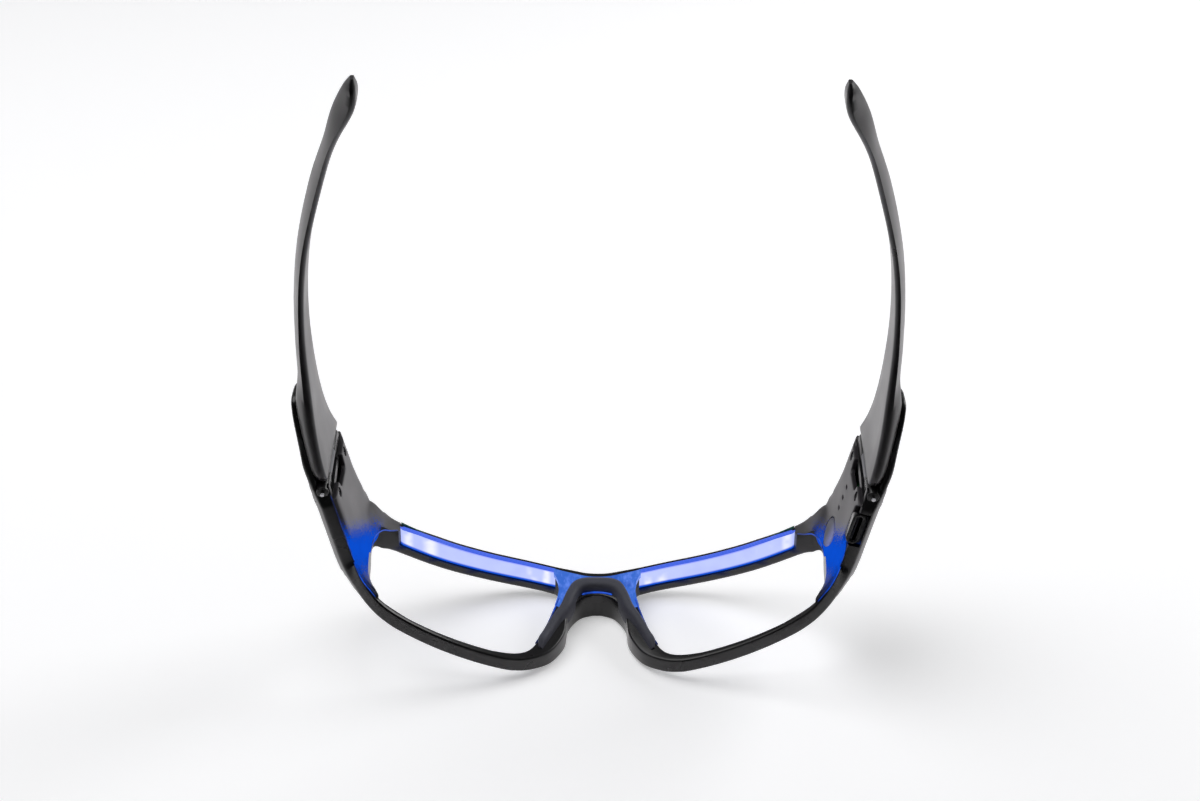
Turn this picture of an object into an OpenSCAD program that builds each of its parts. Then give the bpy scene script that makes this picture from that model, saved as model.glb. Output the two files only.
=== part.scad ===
// Light therapy glasses: a lensless wrap frame with lit guides over the eyes and folding temples.
// X is the wearer's left, Y runs from the front to the ears, Z is up. It stands on its rims and tips.

/* [Front] */
// Radius of the front, seen from above
wrap_r = 88; // [84:1:92]
// Half width of the wrap, where the end pieces turn back
wrap_half = 53.5; // [52.5:0.5:54.5]
// Radius of the turn into each end piece
turn_r = 28; // [26:1:30]
// Direction of the end pieces, measured from straight sideways
side_angle = 75.5; // [74.5:0.5:76.5]
// Lean of the front, top forward
tilt = 6; // [5:0.5:7]
// Height of the rims over the lowest point, at the brow
rim_h = 40; // [39.2:0.2:41]
// Height of the top edge over the nose
bridge_top = 37.2; // [36.6:0.2:37.8]
// Distance of the brow's highest point from the middle
brow_u = 18.5; // [17.5:0.5:19.5]
// Height of the top edge of the end pieces
side_top = 32.4; // [31.8:0.2:33]
// Height of the bottom edge of the end pieces
side_low = 5.2; // [4.6:0.2:5.8]
// Depth of the upper rim, front to back
upper_d = 7; // [6.8:0.1:7.6]
// Height of the upper rim, from the lens opening to the top edge
upper_h = 3.6; // [3.5:0.1:4]
// Depth of the lower rim, front to back
lower_d = 3.6; // [3.3:0.1:3.9]
// Height of the lower rim
lower_h = 2.2; // [1.8:0.1:2.6]
// Height of the arch over the nose
arch_h = 27.8; // [27:0.2:28.6]
// Half width of the arch over the nose
arch_half = 8; // [7.4:0.2:8.4]
// Half width from the middle to the outer end of a lens opening
open_out = 56.6; // [56:0.1:57]
// Half width from the middle to the top inner corner of a lens opening
open_in = 10; // [9.8:0.1:10.6]

/* [End pieces] */
// Outer wall of the end pieces
wall_t = 1; // [0.8:0.05:1.05]
// Distance from the outer face to the back of the inner cover
bay_d = 3.9; // [3.85:0.05:4.2]
// Thickness of the inner covers
cover_t = 1.1; // [0.9:0.05:1.3]
// Distance of the rear end of the inner covers from the hinge pin
cover_gap = 1.5; // [1.4:0.1:1.8]
// Thickness of the floor and roof of each bay
bay_edge = 1.2; // [1:0.1:1.4]
// Length of the wing that covers the temple, behind the hinge pin
wing_len = 23; // [21:0.5:25]

// Height of the steep bevel along the inner covers' tops, at their rear ends
bevel_h = 5.2; // [4.6:0.2:5.6]

/* [Light guides] */
// Height of the guide's face over the edge of the lens opening
guide_rise = 1.4; // [1.2:0.1:1.5]
// Thickness of a guide
guide_t = 0.8; // [0.7:0.05:0.8]
// Width of a guide, front to back
guide_w = 4.3; // [4:0.1:4.4]
// Distance of a guide from the front face
guide_lip = 2.4; // [2.2:0.1:2.5]
// Inner end of the guides, from the middle
guide_in = 11; // [10.9:0.1:11.4]
// Outer end of the guides, from the middle
guide_out = 50.4; // [49:0.2:51]
// Height of a light emitter
led_h = 0.6; // [0.5:0.05:0.65]
// Side of a light emitter
led_w = 1.8; // [1.4:0.1:2.2]
// Thickness of the emitter boards
flex_t = 0.2; // [0.15:0.01:0.25]
// Emitters on each guide
led_count = 2; // [2:1:6]
// Distance of the outer emitters from the ends of their guide
led_inset = 3.4; // [2.4:0.2:5]

/* [Hinges] */
// Distance of each hinge pin from the outer face of its end piece
hinge_in = 1.94; // [1.88:0.02:2]
// Distance of the hinge pins behind the middle of the front
hinge_y = 50.35; // [50:0.1:50.6]
// Radius of the hinge knuckles
knuckle_r = 1.5; // [1.4:0.05:1.55]
// Radius of the hinge pins
pin_r = 0.6; // [0.5:0.05:0.7]
// Height of a temple's hinge knuckle
lug_h = 9; // [7:0.5:10]
// Height of the middle of that knuckle
lug_z = 22; // [21:0.5:23]
// Thickness of the friction washers
washer_t = 0.25; // [0.2:0.05:0.35]
// Length of the hinge tongue inside the temple
tongue_len = 10; // [8:0.5:12]
// Thickness of the hinge tongue
tongue_t = 1; // [0.8:0.1:1.1]

/* [Temples] */
// Length of a temple behind its hinge pin
temple_len = 116.2; // [112:0.2:122]
// Height of a temple at its hinge
temple_h = 25.6; // [24:0.2:26]
// Height of a temple behind the ear
ear_h = 8.6; // [8:0.2:10]
// Thickness of a temple at its hinge
temple_t = 2.5; // [2.3:0.05:2.6]
// Width of the tips' paddles
paddle_w = 4.9; // [4.2:0.1:5.4]
// Sideways place of the tips
tip_x = 51.4; // [49.4:0.2:53.4]
// Gap between the hinge pin's clearance and the temple's end
temple_gap = 2.1; // [2:0.05:2.4]

/* [Nose pad] */
// Thickness of the pad behind the bridge
pad_t = 2.4; // [2:0.1:3]
// Width of the pad's arch
pad_band = 3.4; // [3:0.1:3.6]
// Height of the legs' lower ends
pad_low = 5.5; // [5:0.5:7]

/* [Electronics] */
// Width of the charging socket
socket_w = 7.5; // [7.4:0.1:7.6]
// Thickness of the charging socket
socket_t = 2.45; // [2.4:0.01:2.5]
// Depth of the charging socket
socket_len = 5.2; // [5:0.1:5.6]
// Place of the socket along the end piece
socket_s = 8.4; // [8:0.1:8.8]
// Length of the bezel round the socket
bezel_len = 9.4; // [9.2:0.1:9.6]
// Thickness of the battery
battery_t = 2.2; // [2:0.1:2.4]
// Length of the battery along the end piece
battery_len = 12; // [10:0.5:12.5]
// Height of the battery
battery_h = 19; // [17:0.5:20]
// Thickness of the control board
board_t = 0.6; // [0.5:0.05:0.7]
// Distance of the control board from the outer face
board_d = 1.8; // [1.6:0.05:1.85]
// Length of the control board along the end piece
board_len = 16; // [15.6:0.1:16.2]
// Height of the control board
board_h = 15; // [14:0.5:15.5]
// Radius of the power button
button_r = 3.2; // [3:0.1:3.4]
// Travel of the power button
button_travel = 0.35; // [0.25:0.05:0.4]
// Height of the switch body behind the button
switch_h = 0.7; // [0.6:0.05:0.75]
// Radius of the cover screws
screw_r = 0.5; // [0.4:0.05:0.6]
// Radius of the cover screws' heads
head_r = 1.15; // [1:0.05:1.3]
// Thickness of the cover screws' heads
head_t = 0.6; // [0.5:0.05:0.7]
// Status light windows in the right cover
status_count = 3; // [1:1:3]
// Spacing of the status lights
status_pitch = 3.1; // [2.8:0.1:3.2]

/* [Hidden] */
// Clearance of parts that sit in a pocket, and of parts that turn
fit = 0.05;
turn_fit = 0.03;
// Clearance round a temple's turning knuckle
turn_gap = 0.15;
$fn = 32;
far = 90;
turn_a = asin(wrap_half / wrap_r);
turn_c = [wrap_half - turn_r * sin(turn_a), wrap_r - (wrap_r - turn_r) * cos(turn_a)];
side_start = turn_c + turn_r * [sin(side_angle), -cos(side_angle)];
side_len = 24;
bow_r = 120;
bow_c = side_start + side_len * [cos(side_angle), sin(side_angle)]
    + bow_r * [-sin(side_angle), cos(side_angle)];
// The frame's lowest point lies this far from the middle
foot_u = 25;
foot_v = wrap_r - sqrt(wrap_r * wrap_r - foot_u * foot_u);
front_drop = foot_v * sin(tilt);
front_reach = bridge_top * sin(tilt);
tip_y = hinge_y + temple_len;
mid_y = (tip_y - front_reach) / 2;
hinge_x = side_start[0] + (hinge_y - side_start[1]) / tan(side_angle) - hinge_in;
cover_d = bay_d + cover_t;
cover_end = hinge_y - cover_gap;
bay_end = cover_end - bay_edge;
flex_rise = guide_rise + guide_t + led_h;
guide_back = guide_lip + guide_w;
pin_low = 10.9;
pin_high = 34.4;
socket_low = side_low + 0.4;
board_low = socket_low + socket_len + 0.1;
board_s = -5;
button_s = -2.5;
button_w = 20.3;
status_s = 4.3;
status_w = 20.3;
switch_d = board_d + board_t + switch_h;
temple_y = hinge_y + temple_gap;
temple_low = 11.1;

// A point of the front's plan at a turning angle, moved inwards by d
function plan_at(a, d) = abs(a) <= turn_a
    ? [(wrap_r - d) * sin(a), wrap_r - (wrap_r - d) * cos(a)]
    : [sign(a) * (turn_c[0] + (turn_r - d) * sin(abs(a))), turn_c[1] - (turn_r - d) * cos(a)];
function side_at(s, d) = side_start + s * [cos(side_angle), sin(side_angle)]
    + d * [-sin(side_angle), cos(side_angle)];
function bow_at(a, d) = bow_c + (bow_r - d) * [sin(a), -cos(a)];
// One half of the plan from the middle to the end of the wing
function half_plan(d, a0 = 0) = concat(
    [for (k = [0:10]) if (turn_a * k / 10 >= a0) plan_at(turn_a * k / 10, d)],
    [for (k = [1:8]) let (a = turn_a + (side_angle - turn_a) * k / 8) if (a >= a0) plan_at(a, d)],
    [for (k = [0:3]) bow_at(side_angle + (90 - side_angle) * k / 3, d)],
    [bow_at(90, d) + [0, 8]]);
function flip(p) = [for (k = [len(p) - 1:-1:0]) [-p[k][0], p[k][1]]];
function back(p) = [for (k = [len(p) - 1:-1:0]) p[k]];
function full_plan(d) = let (h = half_plan(d)) concat(flip(h), [for (k = [1:len(h) - 1]) h[k]]);

// A smooth curve through points
function bend(a, b, c, d, t) = b + ((c - a) * t + (2 * a - 5 * b + 4 * c - d) * t * t
    + (3 * b - a - 3 * c + d) * t * t * t) / 2;
function through(p, n) = concat([for (i = [0:len(p) - 2]) for (k = [0:n - 1])
    bend(p[max(i - 1, 0)], p[i], p[i + 1], p[min(i + 2, len(p) - 1)], k / n)], [p[len(p) - 1]]);
// The top edge in the front view, and the upper edge of the lens openings under it
brow_rise = rim_h - bridge_top;
top_edge = through([[0, bridge_top], [brow_u * 0.16, bridge_top + brow_rise * 0.07],
    [brow_u * 0.43, bridge_top + brow_rise * 0.47], [brow_u, rim_h], [brow_u * 1.62, rim_h - 0.8],
    [wrap_half - 12, rim_h - 3], [wrap_half - 4, side_top + 2.7], [wrap_half + 1, side_top + 0.9],
    [wrap_half + 5, side_top], [far, side_top]], 3);
function top_at(u) = lookup(abs(u), top_edge);
function eye_at(u) = top_at(u) - upper_h;
// The bottom edge, from the arch over the nose out to the end piece
low_edge = through([[0, arch_h], [4.6, arch_h - 2.2], [arch_half - 0.8, arch_h - 8],
    [arch_half + 0.2, 12.6], [arch_half + 3.4, 6], [arch_half + 8, 2.2], [foot_u - 5, 0.6], [foot_u, 0],
    [wrap_half - 8, 0], [wrap_half - 2, 0.5], [wrap_half + 3, 2.2], [wrap_half + 8, side_low - 0.6],
    [wrap_half + 13, side_low], [far, side_low]], 3);
// A lens opening, from its top inner corner round its outer end
open_edge = concat(
    [for (u = [open_in + 4.2:5:open_out - 7]) [u, eye_at(u)]],
    through([[open_out - 5, eye_at(open_out - 5)], [open_out - 1.9, eye_at(open_out - 2) - 0.4],
        [open_out - 0.1, 27.5], [open_out, 18], [open_out - 0.2, 8.6], [open_out - 1.2, 4],
        [open_out - 3.4, lower_h + 0.4], [open_out - 10.6, lower_h - 0.4]], 3),
    through([[foot_u + 1, lower_h], [foot_u - 4.6, lower_h + 1], [foot_u - 8, lower_h + 3.2],
        [arch_half + 6.6, 9.4],
        [arch_half + 4.1, 17], [open_in - 0.8, 28], [open_in - 0.5, 32.6], [open_in + 1.2, 35.2]], 3));

module front_place() { translate([0, -mid_y, -front_drop]) rotate([tilt, 0, 0]) children(); }
module row_place() { translate([0, -mid_y, 0]) children(); }
module along_v(v0, v1) { translate([0, v1, 0]) rotate([90, 0, 0]) linear_extrude(v1 - v0) children(); }
module along_u(u0, u1) { translate([u0, 0, 0]) rotate([90, 0, 90]) linear_extrude(u1 - u0) children(); }
module both() { children(); mirror([1, 0, 0]) children(); }
module half_band(d0, d1, w0, w1, a0 = 0) {
    translate([0, 0, w0]) linear_extrude(w1 - w0)
        polygon(concat(half_plan(d0, a0), back(half_plan(d1, a0))));
}
module full_band(d0, d1, w0, w1) {
    translate([0, 0, w0]) linear_extrude(w1 - w0) polygon(concat(full_plan(d0), back(full_plan(d1))));
}
// A place on the straight side: s along it, d inwards from its face, z outwards
module on_side(s, d, w) {
    p = side_at(s, d);
    translate([p[0], p[1], w]) rotate([0, 0, side_angle]) rotate([90, 0, 0]) children();
}
// A ribbon that follows the lens opening's upper edge, a to b over it
module eye_ribbon(u0, u1, a, b) {
    us = concat([u0], [for (p = top_edge) if (p[0] > u0 && p[0] < u1) p[0]], [u1]);
    along_v(-2, far) polygon(concat([for (u = us) [u, eye_at(u) + a]],
        [for (u = back(us)) [u, eye_at(u) + b]]));
}
module outline(rise = 0) {
    along_v(-2, far) both_flat() polygon(concat(top_edge, back([for (p = low_edge) p + [0, rise]])));
}
module both_flat() { children(); mirror([1, 0]) children(); }
module opening() { along_v(-2, far) polygon(open_edge); }

// The depth of the upper rim shrinks to the bay's between these two angles, over the outer corner
brow_a = [turn_a + 1.5, turn_a + 6.5];
function brow_d(a) = lookup(a, [[brow_a[0], upper_d], [brow_a[1], bay_d]]);
module brow_band() {
    angles = concat([for (k = [0:12]) brow_a[0] * k / 12], [brow_a[1], brow_a[1] + 6]);
    linear_extrude(far) polygon(concat([for (a = angles) plan_at(a, 0)],
        [for (a = back(angles)) plan_at(a, brow_d(a))]));
}
module upper_rim() {
    step = (wrap_half + 4.6) / 18;
    intersection() {
        brow_band();
        along_v(-2, far) polygon(concat([for (k = [0:18]) let (u = step * k) [u, top_at(u)]],
            [for (k = [18:-1:4]) let (u = step * k) [u, eye_at(u)]], [[open_in, arch_h + 2.2], [0, arch_h]]));
    }
}
// The lower rim and the side, in one depth each
module lower_rim() {
    intersection() {
        half_band(0, lower_d, -1, far);
        outline();
        along_v(-2, far) square([wrap_half + 1, far]);
    }
}
module nose_bridge() {
    intersection() {
        half_band(0, upper_d + 1, -1, far);
        outline();
        along_u(0, arch_half + 8.6) polygon([[-2, -1], [lower_d, -1], [lower_d + 0.3, 5],
            [upper_d, arch_h], [upper_d, far], [-2, far]]);
        along_v(-2, far) square([arch_half + 8.6, far]);
    }
}
// The side view of the end piece, which starts at end_v, and of its wing
end_v = 14;
side_view = concat([[end_v, far], [hinge_y, far]],
    through([[hinge_y + 2.2, side_top], [hinge_y + 5.7, side_top - 1.2], [hinge_y + 11.7, side_top - 6],
        [hinge_y + 18.7, side_top - 11], [hinge_y + wing_len - 0.4, side_top - 13.8],
        [hinge_y + wing_len + 0.7, side_top - 17], [hinge_y + wing_len, side_low + 5.6],
        [hinge_y + 17.7, side_low + 3.6], [hinge_y + 9.7, side_low + 3], [hinge_y + 1.7, side_low + 1.4],
        [hinge_y - 3.3, side_low]], 3), [[hinge_y - 10, -1], [end_v, -1]]);
module end_piece() {
    intersection() {
        half_band(0, bay_d, -1, far, turn_a + 1);
        outline();
        along_u(turn_c[0], far) polygon(side_view);
    }
}
// The bevel grows to the back, and runs out steeply where the cover turns into the brow
module over_slope(s, w, turn) {
    on_side(s, cover_d, w) rotate([0, 0, turn]) rotate([-76, 0, 0])
        translate([-far, 0, -far]) cube(2 * far);
}
module top_bevel() {
    intersection() {
        half_band(2, cover_d + 1, -1, far, turn_a + 16);
        over_slope(16, side_top - bevel_h, -10);
        over_slope(3, side_top - bevel_h + 2.3, -50);
    }
}
module ahead_of(y) { rotate([-tilt, 0, 0]) translate([-far, -far, -far]) cube([2 * far, far + y, 2 * far]); }
bay_v = side_start[1] - 5.2;
module bay_room() {
    intersection() {
        half_band(wall_t, bay_d + 1, -1, far, turn_a + 14);
        along_u(turn_c[0], far) polygon([[bay_v, side_low + bay_edge], [far, side_low + bay_edge],
            [far, side_top - bay_edge], [bay_v, side_top - bay_edge]]);
        ahead_of(bay_end);
    }
}
// The lead from the emitter board ends in the bay, this far out and this high
lead_out = plan_at(side_angle - 7, 3.2)[0];
lead_w = side_top - 6.4;
module lead_slot(grow) {
    half = 0.5 + grow;
    low = eye_at(guide_out) + flex_rise - grow;
    high = eye_at(guide_out) + flex_rise + flex_t + grow;
    intersection() {
        half_band(2.6 - grow, 3.8 + grow, 20, far, turn_a - 8);
        along_v(-2, far) polygon([[guide_out - 2, low], [guide_out + 0.5, low],
            [lead_out + grow, lead_w - half], [lead_out + grow, lead_w + half],
            [guide_out + 1, high], [guide_out - 2, high]]);
    }
}
module hinge_axis(x = hinge_x) { row_place() translate([x, hinge_y, 0]) children(); }

module frame_half() {
    difference() {
        union() {
            upper_rim();
            lower_rim();
            nose_bridge();
            end_piece();
        }
        opening();
        bay_room();
        top_bevel();
        intersection() {
            half_band(guide_lip, guide_back + 2 * fit, 0, far);
            eye_ribbon(guide_in - fit, guide_out + fit, -2, flex_rise + flex_t);
        }
        lead_slot(fit);
        intersection() {
            full_band(guide_lip + 0.8, guide_back - 0.8, 0, far);
            eye_ribbon(-1, guide_in + 1, flex_rise - fit, flex_rise + flex_t);
        }
    }
}
// The cover screws stand ahead of the cover's rear end, one low and one high
screw_w = [side_low + 4.8, side_top - 6.3];
screw_y = cover_end - head_r - 0.35;
function screw_s(w) = ((screw_y + w * sin(tilt)) / cos(tilt) - side_at(0, cover_d)[1]) / sin(side_angle);
module bosses() {
    for (w = screw_w) on_side(screw_s(w), bay_d, w) difference() {
        cylinder(r = screw_r + 0.7, h = bay_d - wall_t + 0.1);
        translate([0, 0, -0.1]) cylinder(r = screw_r + 0.02, h = bay_d - wall_t);
    }
}
// What the swinging temple needs free, behind the end of the bay
module hinge_room() {
    row_place() difference() {
        translate([hinge_x - 8, cover_end, -1]) cube([20, far, far]);
        wing_skin();
    }
}
module wing_skin() {
    translate([0, 0, -front_drop]) rotate([tilt, 0, 0]) half_band(-1, wall_t, -1, far, turn_a);
}
module knuckles() {
    for (z = [[pin_low, lug_z - lug_h / 2 - washer_t], [lug_z + lug_h / 2 + washer_t, pin_high]])
        hinge_axis() translate([0, 0, z[0]]) union() {
            cylinder(r = knuckle_r, h = z[1] - z[0]);
            translate([-knuckle_r, -2.6, 0]) cube([2 * knuckle_r, 2.6, z[1] - z[0]]);
        }
}
module pin_bore() { hinge_axis() translate([0, 0, -1]) cylinder(r = pin_r, h = far); }
module front_frame() {
    color("#232326") difference() {
        union() {
            both() difference() {
                front_place() frame_half();
                hinge_room();
                hinge_axis() translate([0, 0, lug_z - lug_h / 2 - washer_t])
                    cylinder(r = knuckle_r + turn_gap, h = lug_h + 2 * washer_t);
            }
            both() front_place() bosses();
            both() knuckles();
            mirror([1, 0, 0]) front_place() board_rests();
        }
        both() pin_bore();
        mirror([1, 0, 0]) front_place() on_side(socket_s, 0, 0)
            translate([-bezel_len / 2, 0, -bay_d]) cube([bezel_len, side_low + bay_edge + 2, bay_d - wall_t]);
    }
}
// Ribs on the outer wall that carry the control board
module board_rests() {
    for (s = [1.5, board_len + board_s - 1.2]) on_side(s, board_d, board_low + 2)
        cube([0.8, board_h - 4, board_d - wall_t + 0.1]);
}
module cover_body() {
    difference() {
        intersection() {
            half_band(bay_d, cover_d, -1, far, brow_a[1]);
            outline(0.5);
            along_u(turn_c[0], far) polygon([[end_v, -1], [far, -1], [far, far], [end_v, far]]);
        }
        opening();
        top_bevel();
    }
}
module inner_cover() {
    difference() {
        front_place() cover_body();
        row_place() translate([turn_c[0], cover_end, -1]) cube(far);
        front_place() for (w = screw_w) on_side(screw_s(w), cover_d, w) {
            translate([0, 0, -0.5]) cylinder(r = head_r + fit, h = head_t + 0.5);
            cylinder(r = screw_r + fit, h = cover_t + 1);
        }
    }
}
module inner_cover_left() { color("#3a3a3e") inner_cover(); }
module inner_cover_right() {
    color("#3a3a3e") mirror([1, 0, 0]) difference() {
        inner_cover();
        front_place() on_side(button_s, cover_d + 1, button_w) cylinder(r = button_r + fit, h = cover_t + 2);
        front_place() for (k = [0:status_count - 1])
            on_side(status_s + status_pitch * k, cover_d + 1, status_w) translate([-0.3, -0.8, 0])
                cube([0.6, 1.6, cover_t + 2]);
    }
}
module light_guide() {
    front_place() intersection() {
        half_band(guide_lip + fit, guide_back + fit, 0, far);
        eye_ribbon(guide_in, guide_out, guide_rise, guide_rise + guide_t);
    }
}
module light_guide_left() { color("#9fb4ff") light_guide(); }
module light_guide_right() { color("#9fb4ff") mirror([1, 0, 0]) light_guide(); }
module led_board() {
    front_place() union() {
        intersection() {
            half_band(guide_lip + fit, guide_back + fit, 0, far);
            eye_ribbon(guide_in, guide_out, flex_rise, flex_rise + flex_t);
        }
        lead_slot(0);
    }
}
module led_board_left() { color("#2f6b3a") led_board(); }
module led_board_right() { color("#2f6b3a") mirror([1, 0, 0]) led_board(); }
module leds() {
    first = guide_in + led_inset - led_w / 2;
    pitch = (guide_out - guide_in - 2 * led_inset) / (led_count - 1);
    front_place() intersection() {
        half_band(guide_lip + 1.4, guide_back - 1.2, 0, far);
        eye_ribbon(guide_in, guide_out, guide_rise + guide_t, flex_rise);
        union() {
            for (k = [0:led_count - 1]) translate([first + pitch * k, 0, 0]) cube([led_w, far, far]);
        }
    }
}
module leds_left() { color("#e8f0ff") leds(); }
module leds_right() { color("#e8f0ff") mirror([1, 0, 0]) leds(); }
module bridge_flex() {
    color("#b5762a") front_place() both() intersection() {
        half_band(guide_lip + 0.9, guide_back - 0.9, 0, far);
        eye_ribbon(0, guide_in, flex_rise, flex_rise + flex_t);
    }
}
// The saddle pad: an arch behind the bridge, and a leg down each side of the nose
module pad_half() {
    inner = through([[0, arch_h + 0.4], [4.6, arch_h - 1.7], [arch_half - 0.6, arch_h - 7.6],
        [arch_half + 0.5, 12.6], [arch_half + 3, pad_low + 1.4]], 4);
    outer = through([[0, arch_h + 0.4 + pad_band], [5, arch_h + pad_band], [arch_half + 1, arch_h - 2],
        [arch_half + 3.4, 17], [arch_half + 6, 8], [arch_half + 5.4, pad_low]], 4);
    intersection() {
        along_v(-2, 20) polygon(concat(outer, back(inner)));
        along_u(0, 20) polygon([[lower_d, pad_low - 1], [lower_d + 2.4, pad_low - 1],
            [upper_d + pad_t, arch_h - 4], [upper_d + pad_t, far], [upper_d, far], [upper_d, arch_h]]);
    }
}
module nose_pad() {
    color("#3f4047") front_place() both() difference() {
        pad_half();
        nose_bridge();
        upper_rim();
        lower_rim();
    }
}
module cover_screws() {
    color("#55555a") both() front_place() for (w = screw_w) on_side(screw_s(w), cover_d, w) difference() {
        union() {
            cylinder(r = head_r, h = head_t);
            cylinder(r = screw_r, h = cover_d - wall_t - 0.3);
        }
        for (a = [0, 90]) rotate([0, 0, a]) translate([-0.7, -0.12, -0.1]) cube([1.4, 0.24, 0.4]);
    }
}
module hinge_pin() {
    hinge_axis() translate([0, 0, pin_low - fit]) cylinder(r = pin_r, h = pin_high - pin_low);
}
module hinge_pin_left() { color("#c9c9cc") hinge_pin(); }
module hinge_pin_right() { color("#c9c9cc") mirror([1, 0, 0]) hinge_pin(); }
module hinge_washers() {
    color("#8f8f94") both() for (z = [lug_z - lug_h / 2 - washer_t, lug_z + lug_h / 2])
        hinge_axis() translate([0, 0, z]) difference() {
            cylinder(r = knuckle_r - 0.1, h = washer_t);
            translate([0, 0, -1]) cylinder(r = pin_r, h = 2);
        }
}
module tongue(grow) {
    row_place() translate([hinge_x - tongue_t / 2 - grow, hinge_y + pin_r + 0.5, lug_z - lug_h / 3 - grow])
        rotate([0, 0, -10])
            cube([tongue_t + 2 * grow, temple_gap + tongue_len + grow, 2 * lug_h / 3 + 2 * grow]);
}
module temple_lug() {
    difference() {
        union() {
            hinge_axis() translate([0, 0, lug_z - lug_h / 2]) cylinder(r = knuckle_r, h = lug_h);
            tongue(0);
        }
        hinge_axis() translate([0, 0, -1]) cylinder(r = pin_r + turn_fit, h = far);
    }
}
module temple_lug_left() { color("#8a8a90") temple_lug(); }
module temple_lug_right() { color("#8a8a90") mirror([1, 0, 0]) temple_lug(); }

// The temple's lengthwise curves: middle, thickness, bottom edge and height, over the length
function far_y(f) = hinge_y + temple_len * f;
temple_x = through([[temple_y, hinge_x], [far_y(0.085), hinge_x + 1.3], [far_y(0.185), hinge_x + 2.5],
    [far_y(0.355), hinge_x + 3.2], [far_y(0.525), hinge_x + 1.8], [far_y(0.695), hinge_x - 2.3],
    [far_y(0.85), tip_x + 5.2], [tip_y, tip_x]], 6);
temple_thick = through([[temple_y, temple_t], [far_y(0.1), temple_t], [far_y(0.28), 2.7], [far_y(0.5), 2.4],
    [far_y(0.7), 2.7], [far_y(0.82), 3.4], [far_y(0.91), paddle_w], [far_y(0.975), 3], [tip_y, 1]], 6);
temple_foot = through([[temple_y, temple_low], [far_y(0.17), temple_low + 1.6],
    [far_y(0.34), temple_low + 3.4], [far_y(0.5), temple_low + 4], [far_y(0.64), temple_low + 2.4],
    [far_y(0.79), temple_low - 2.6],
    [far_y(0.91), 2.2], [far_y(0.975), 0], [tip_y, 1.2]], 6);
temple_tall = through([[temple_y, temple_h], [far_y(0.08), temple_h - 5], [far_y(0.15), temple_h - 9],
    [far_y(0.23), 13.2], [far_y(0.35), 11.2], [far_y(0.52), 10], [far_y(0.82), ear_h],
    [far_y(0.91), ear_h], [far_y(0.975), 5.6], [tip_y, 2]], 6);
temple_steps = 34;
ring_n = 14;
// One ring of the temple: a rounded slab standing at y
function ring_at(y) = let (t = lookup(y, temple_thick) / 2, h = lookup(y, temple_tall) / 2,
    z = lookup(y, temple_foot), x = lookup(y, temple_x))
    [for (k = [0:ring_n - 1]) let (a = 360 * (k + 0.5) / ring_n)
        [x + t * sign(cos(a)) * pow(abs(cos(a)), 0.5), y, z + h + h * sign(sin(a)) * pow(abs(sin(a)), 0.6)]];
module temple_body() {
    ys = [for (k = [0:temple_steps]) temple_y + (tip_y - temple_y) * (1 - pow(1 - k / temple_steps, 1.15))];
    points = [for (y = ys) each ring_at(y)];
    last = temple_steps * ring_n;
    sides = [for (i = [0:temple_steps - 1]) for (k = [0:ring_n - 1])
        let (a = i * ring_n + k, b = i * ring_n + (k + 1) % ring_n)
        each [[a, b, b + ring_n], [a, b + ring_n, a + ring_n]]];
    polyhedron(points, concat(sides, [[for (k = [ring_n - 1:-1:0]) k]],
        [[for (k = [0:ring_n - 1]) last + k]]));
}
module temple() {
    difference() {
        row_place() temple_body();
        tongue(fit);
    }
}
module temple_left() { color("#1d1d20") temple(); }
module temple_right() { color("#1d1d20") mirror([1, 0, 0]) temple(); }

module battery() {
    color("#b9bcc4") front_place() on_side(0.4, wall_t + fit, side_low + bay_edge + 1)
        translate([0, 0, -battery_t]) cube([battery_len, battery_h, battery_t]);
}
module control_board() {
    color("#1f5f34") mirror([1, 0, 0]) front_place() on_side(board_s, board_d, board_low)
        translate([0, 0, -board_t]) cube([board_len, board_h, board_t]);
}
// The charging socket stands in its bezel and ends under the control board
module charging_socket() {
    color("#c4c6cc") mirror([1, 0, 0]) front_place() on_side(socket_s, (wall_t + bay_d) / 2, socket_low)
        translate([-socket_w / 2, 0, -socket_t / 2]) difference() {
            cube([socket_w, socket_len, socket_t]);
            translate([0.3, -1, 0.3]) cube([socket_w - 0.6, socket_len, socket_t - 0.6]);
        }
}
module port_bezel() {
    color("#0c0c0e") mirror([1, 0, 0]) front_place() on_side(socket_s, (wall_t + bay_d) / 2, side_low + 0.02)
        difference() {
            translate([-bezel_len / 2 + fit, 0, -(bay_d - wall_t) / 2])
                cube([bezel_len - 2 * fit, 1.8, bay_d - wall_t]);
            translate([-socket_w / 2 - 0.02, -1, -socket_t / 2 - 0.02])
                cube([socket_w + 0.04, 4, socket_t + 0.04]);
        }
}
// The button's faces follow the cover's
module power_button() {
    color("#4a4b52") mirror([1, 0, 0]) front_place() intersection() {
        on_side(button_s, cover_d + 1, button_w) cylinder(r = button_r, h = cover_d);
        half_band(switch_d + button_travel + fit, cover_d, 0, far, turn_a + 14);
    }
}
module tact_switch() {
    color("#101012") mirror([1, 0, 0]) front_place() on_side(button_s, board_d + board_t, button_w)
        translate([-1.5, -1.5, -switch_h]) cube([3, 3, switch_h]);
}
module status_lights() {
    color("#dfe7ff") mirror([1, 0, 0]) front_place() for (k = [0:status_count - 1])
        on_side(status_s + status_pitch * k, board_d + board_t, status_w)
            translate([-0.4, -0.6, -0.5]) cube([0.8, 1.2, 0.5]);
}

front_frame();
inner_cover_left();
inner_cover_right();
light_guide_left();
light_guide_right();
led_board_left();
led_board_right();
leds_left();
leds_right();
bridge_flex();
nose_pad();
cover_screws();
hinge_pin_left();
hinge_pin_right();
hinge_washers();
temple_lug_left();
temple_lug_right();
temple_left();
temple_right();
battery();
control_board();
charging_socket();
port_bezel();
power_button();
tact_switch();
status_lights();
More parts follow.
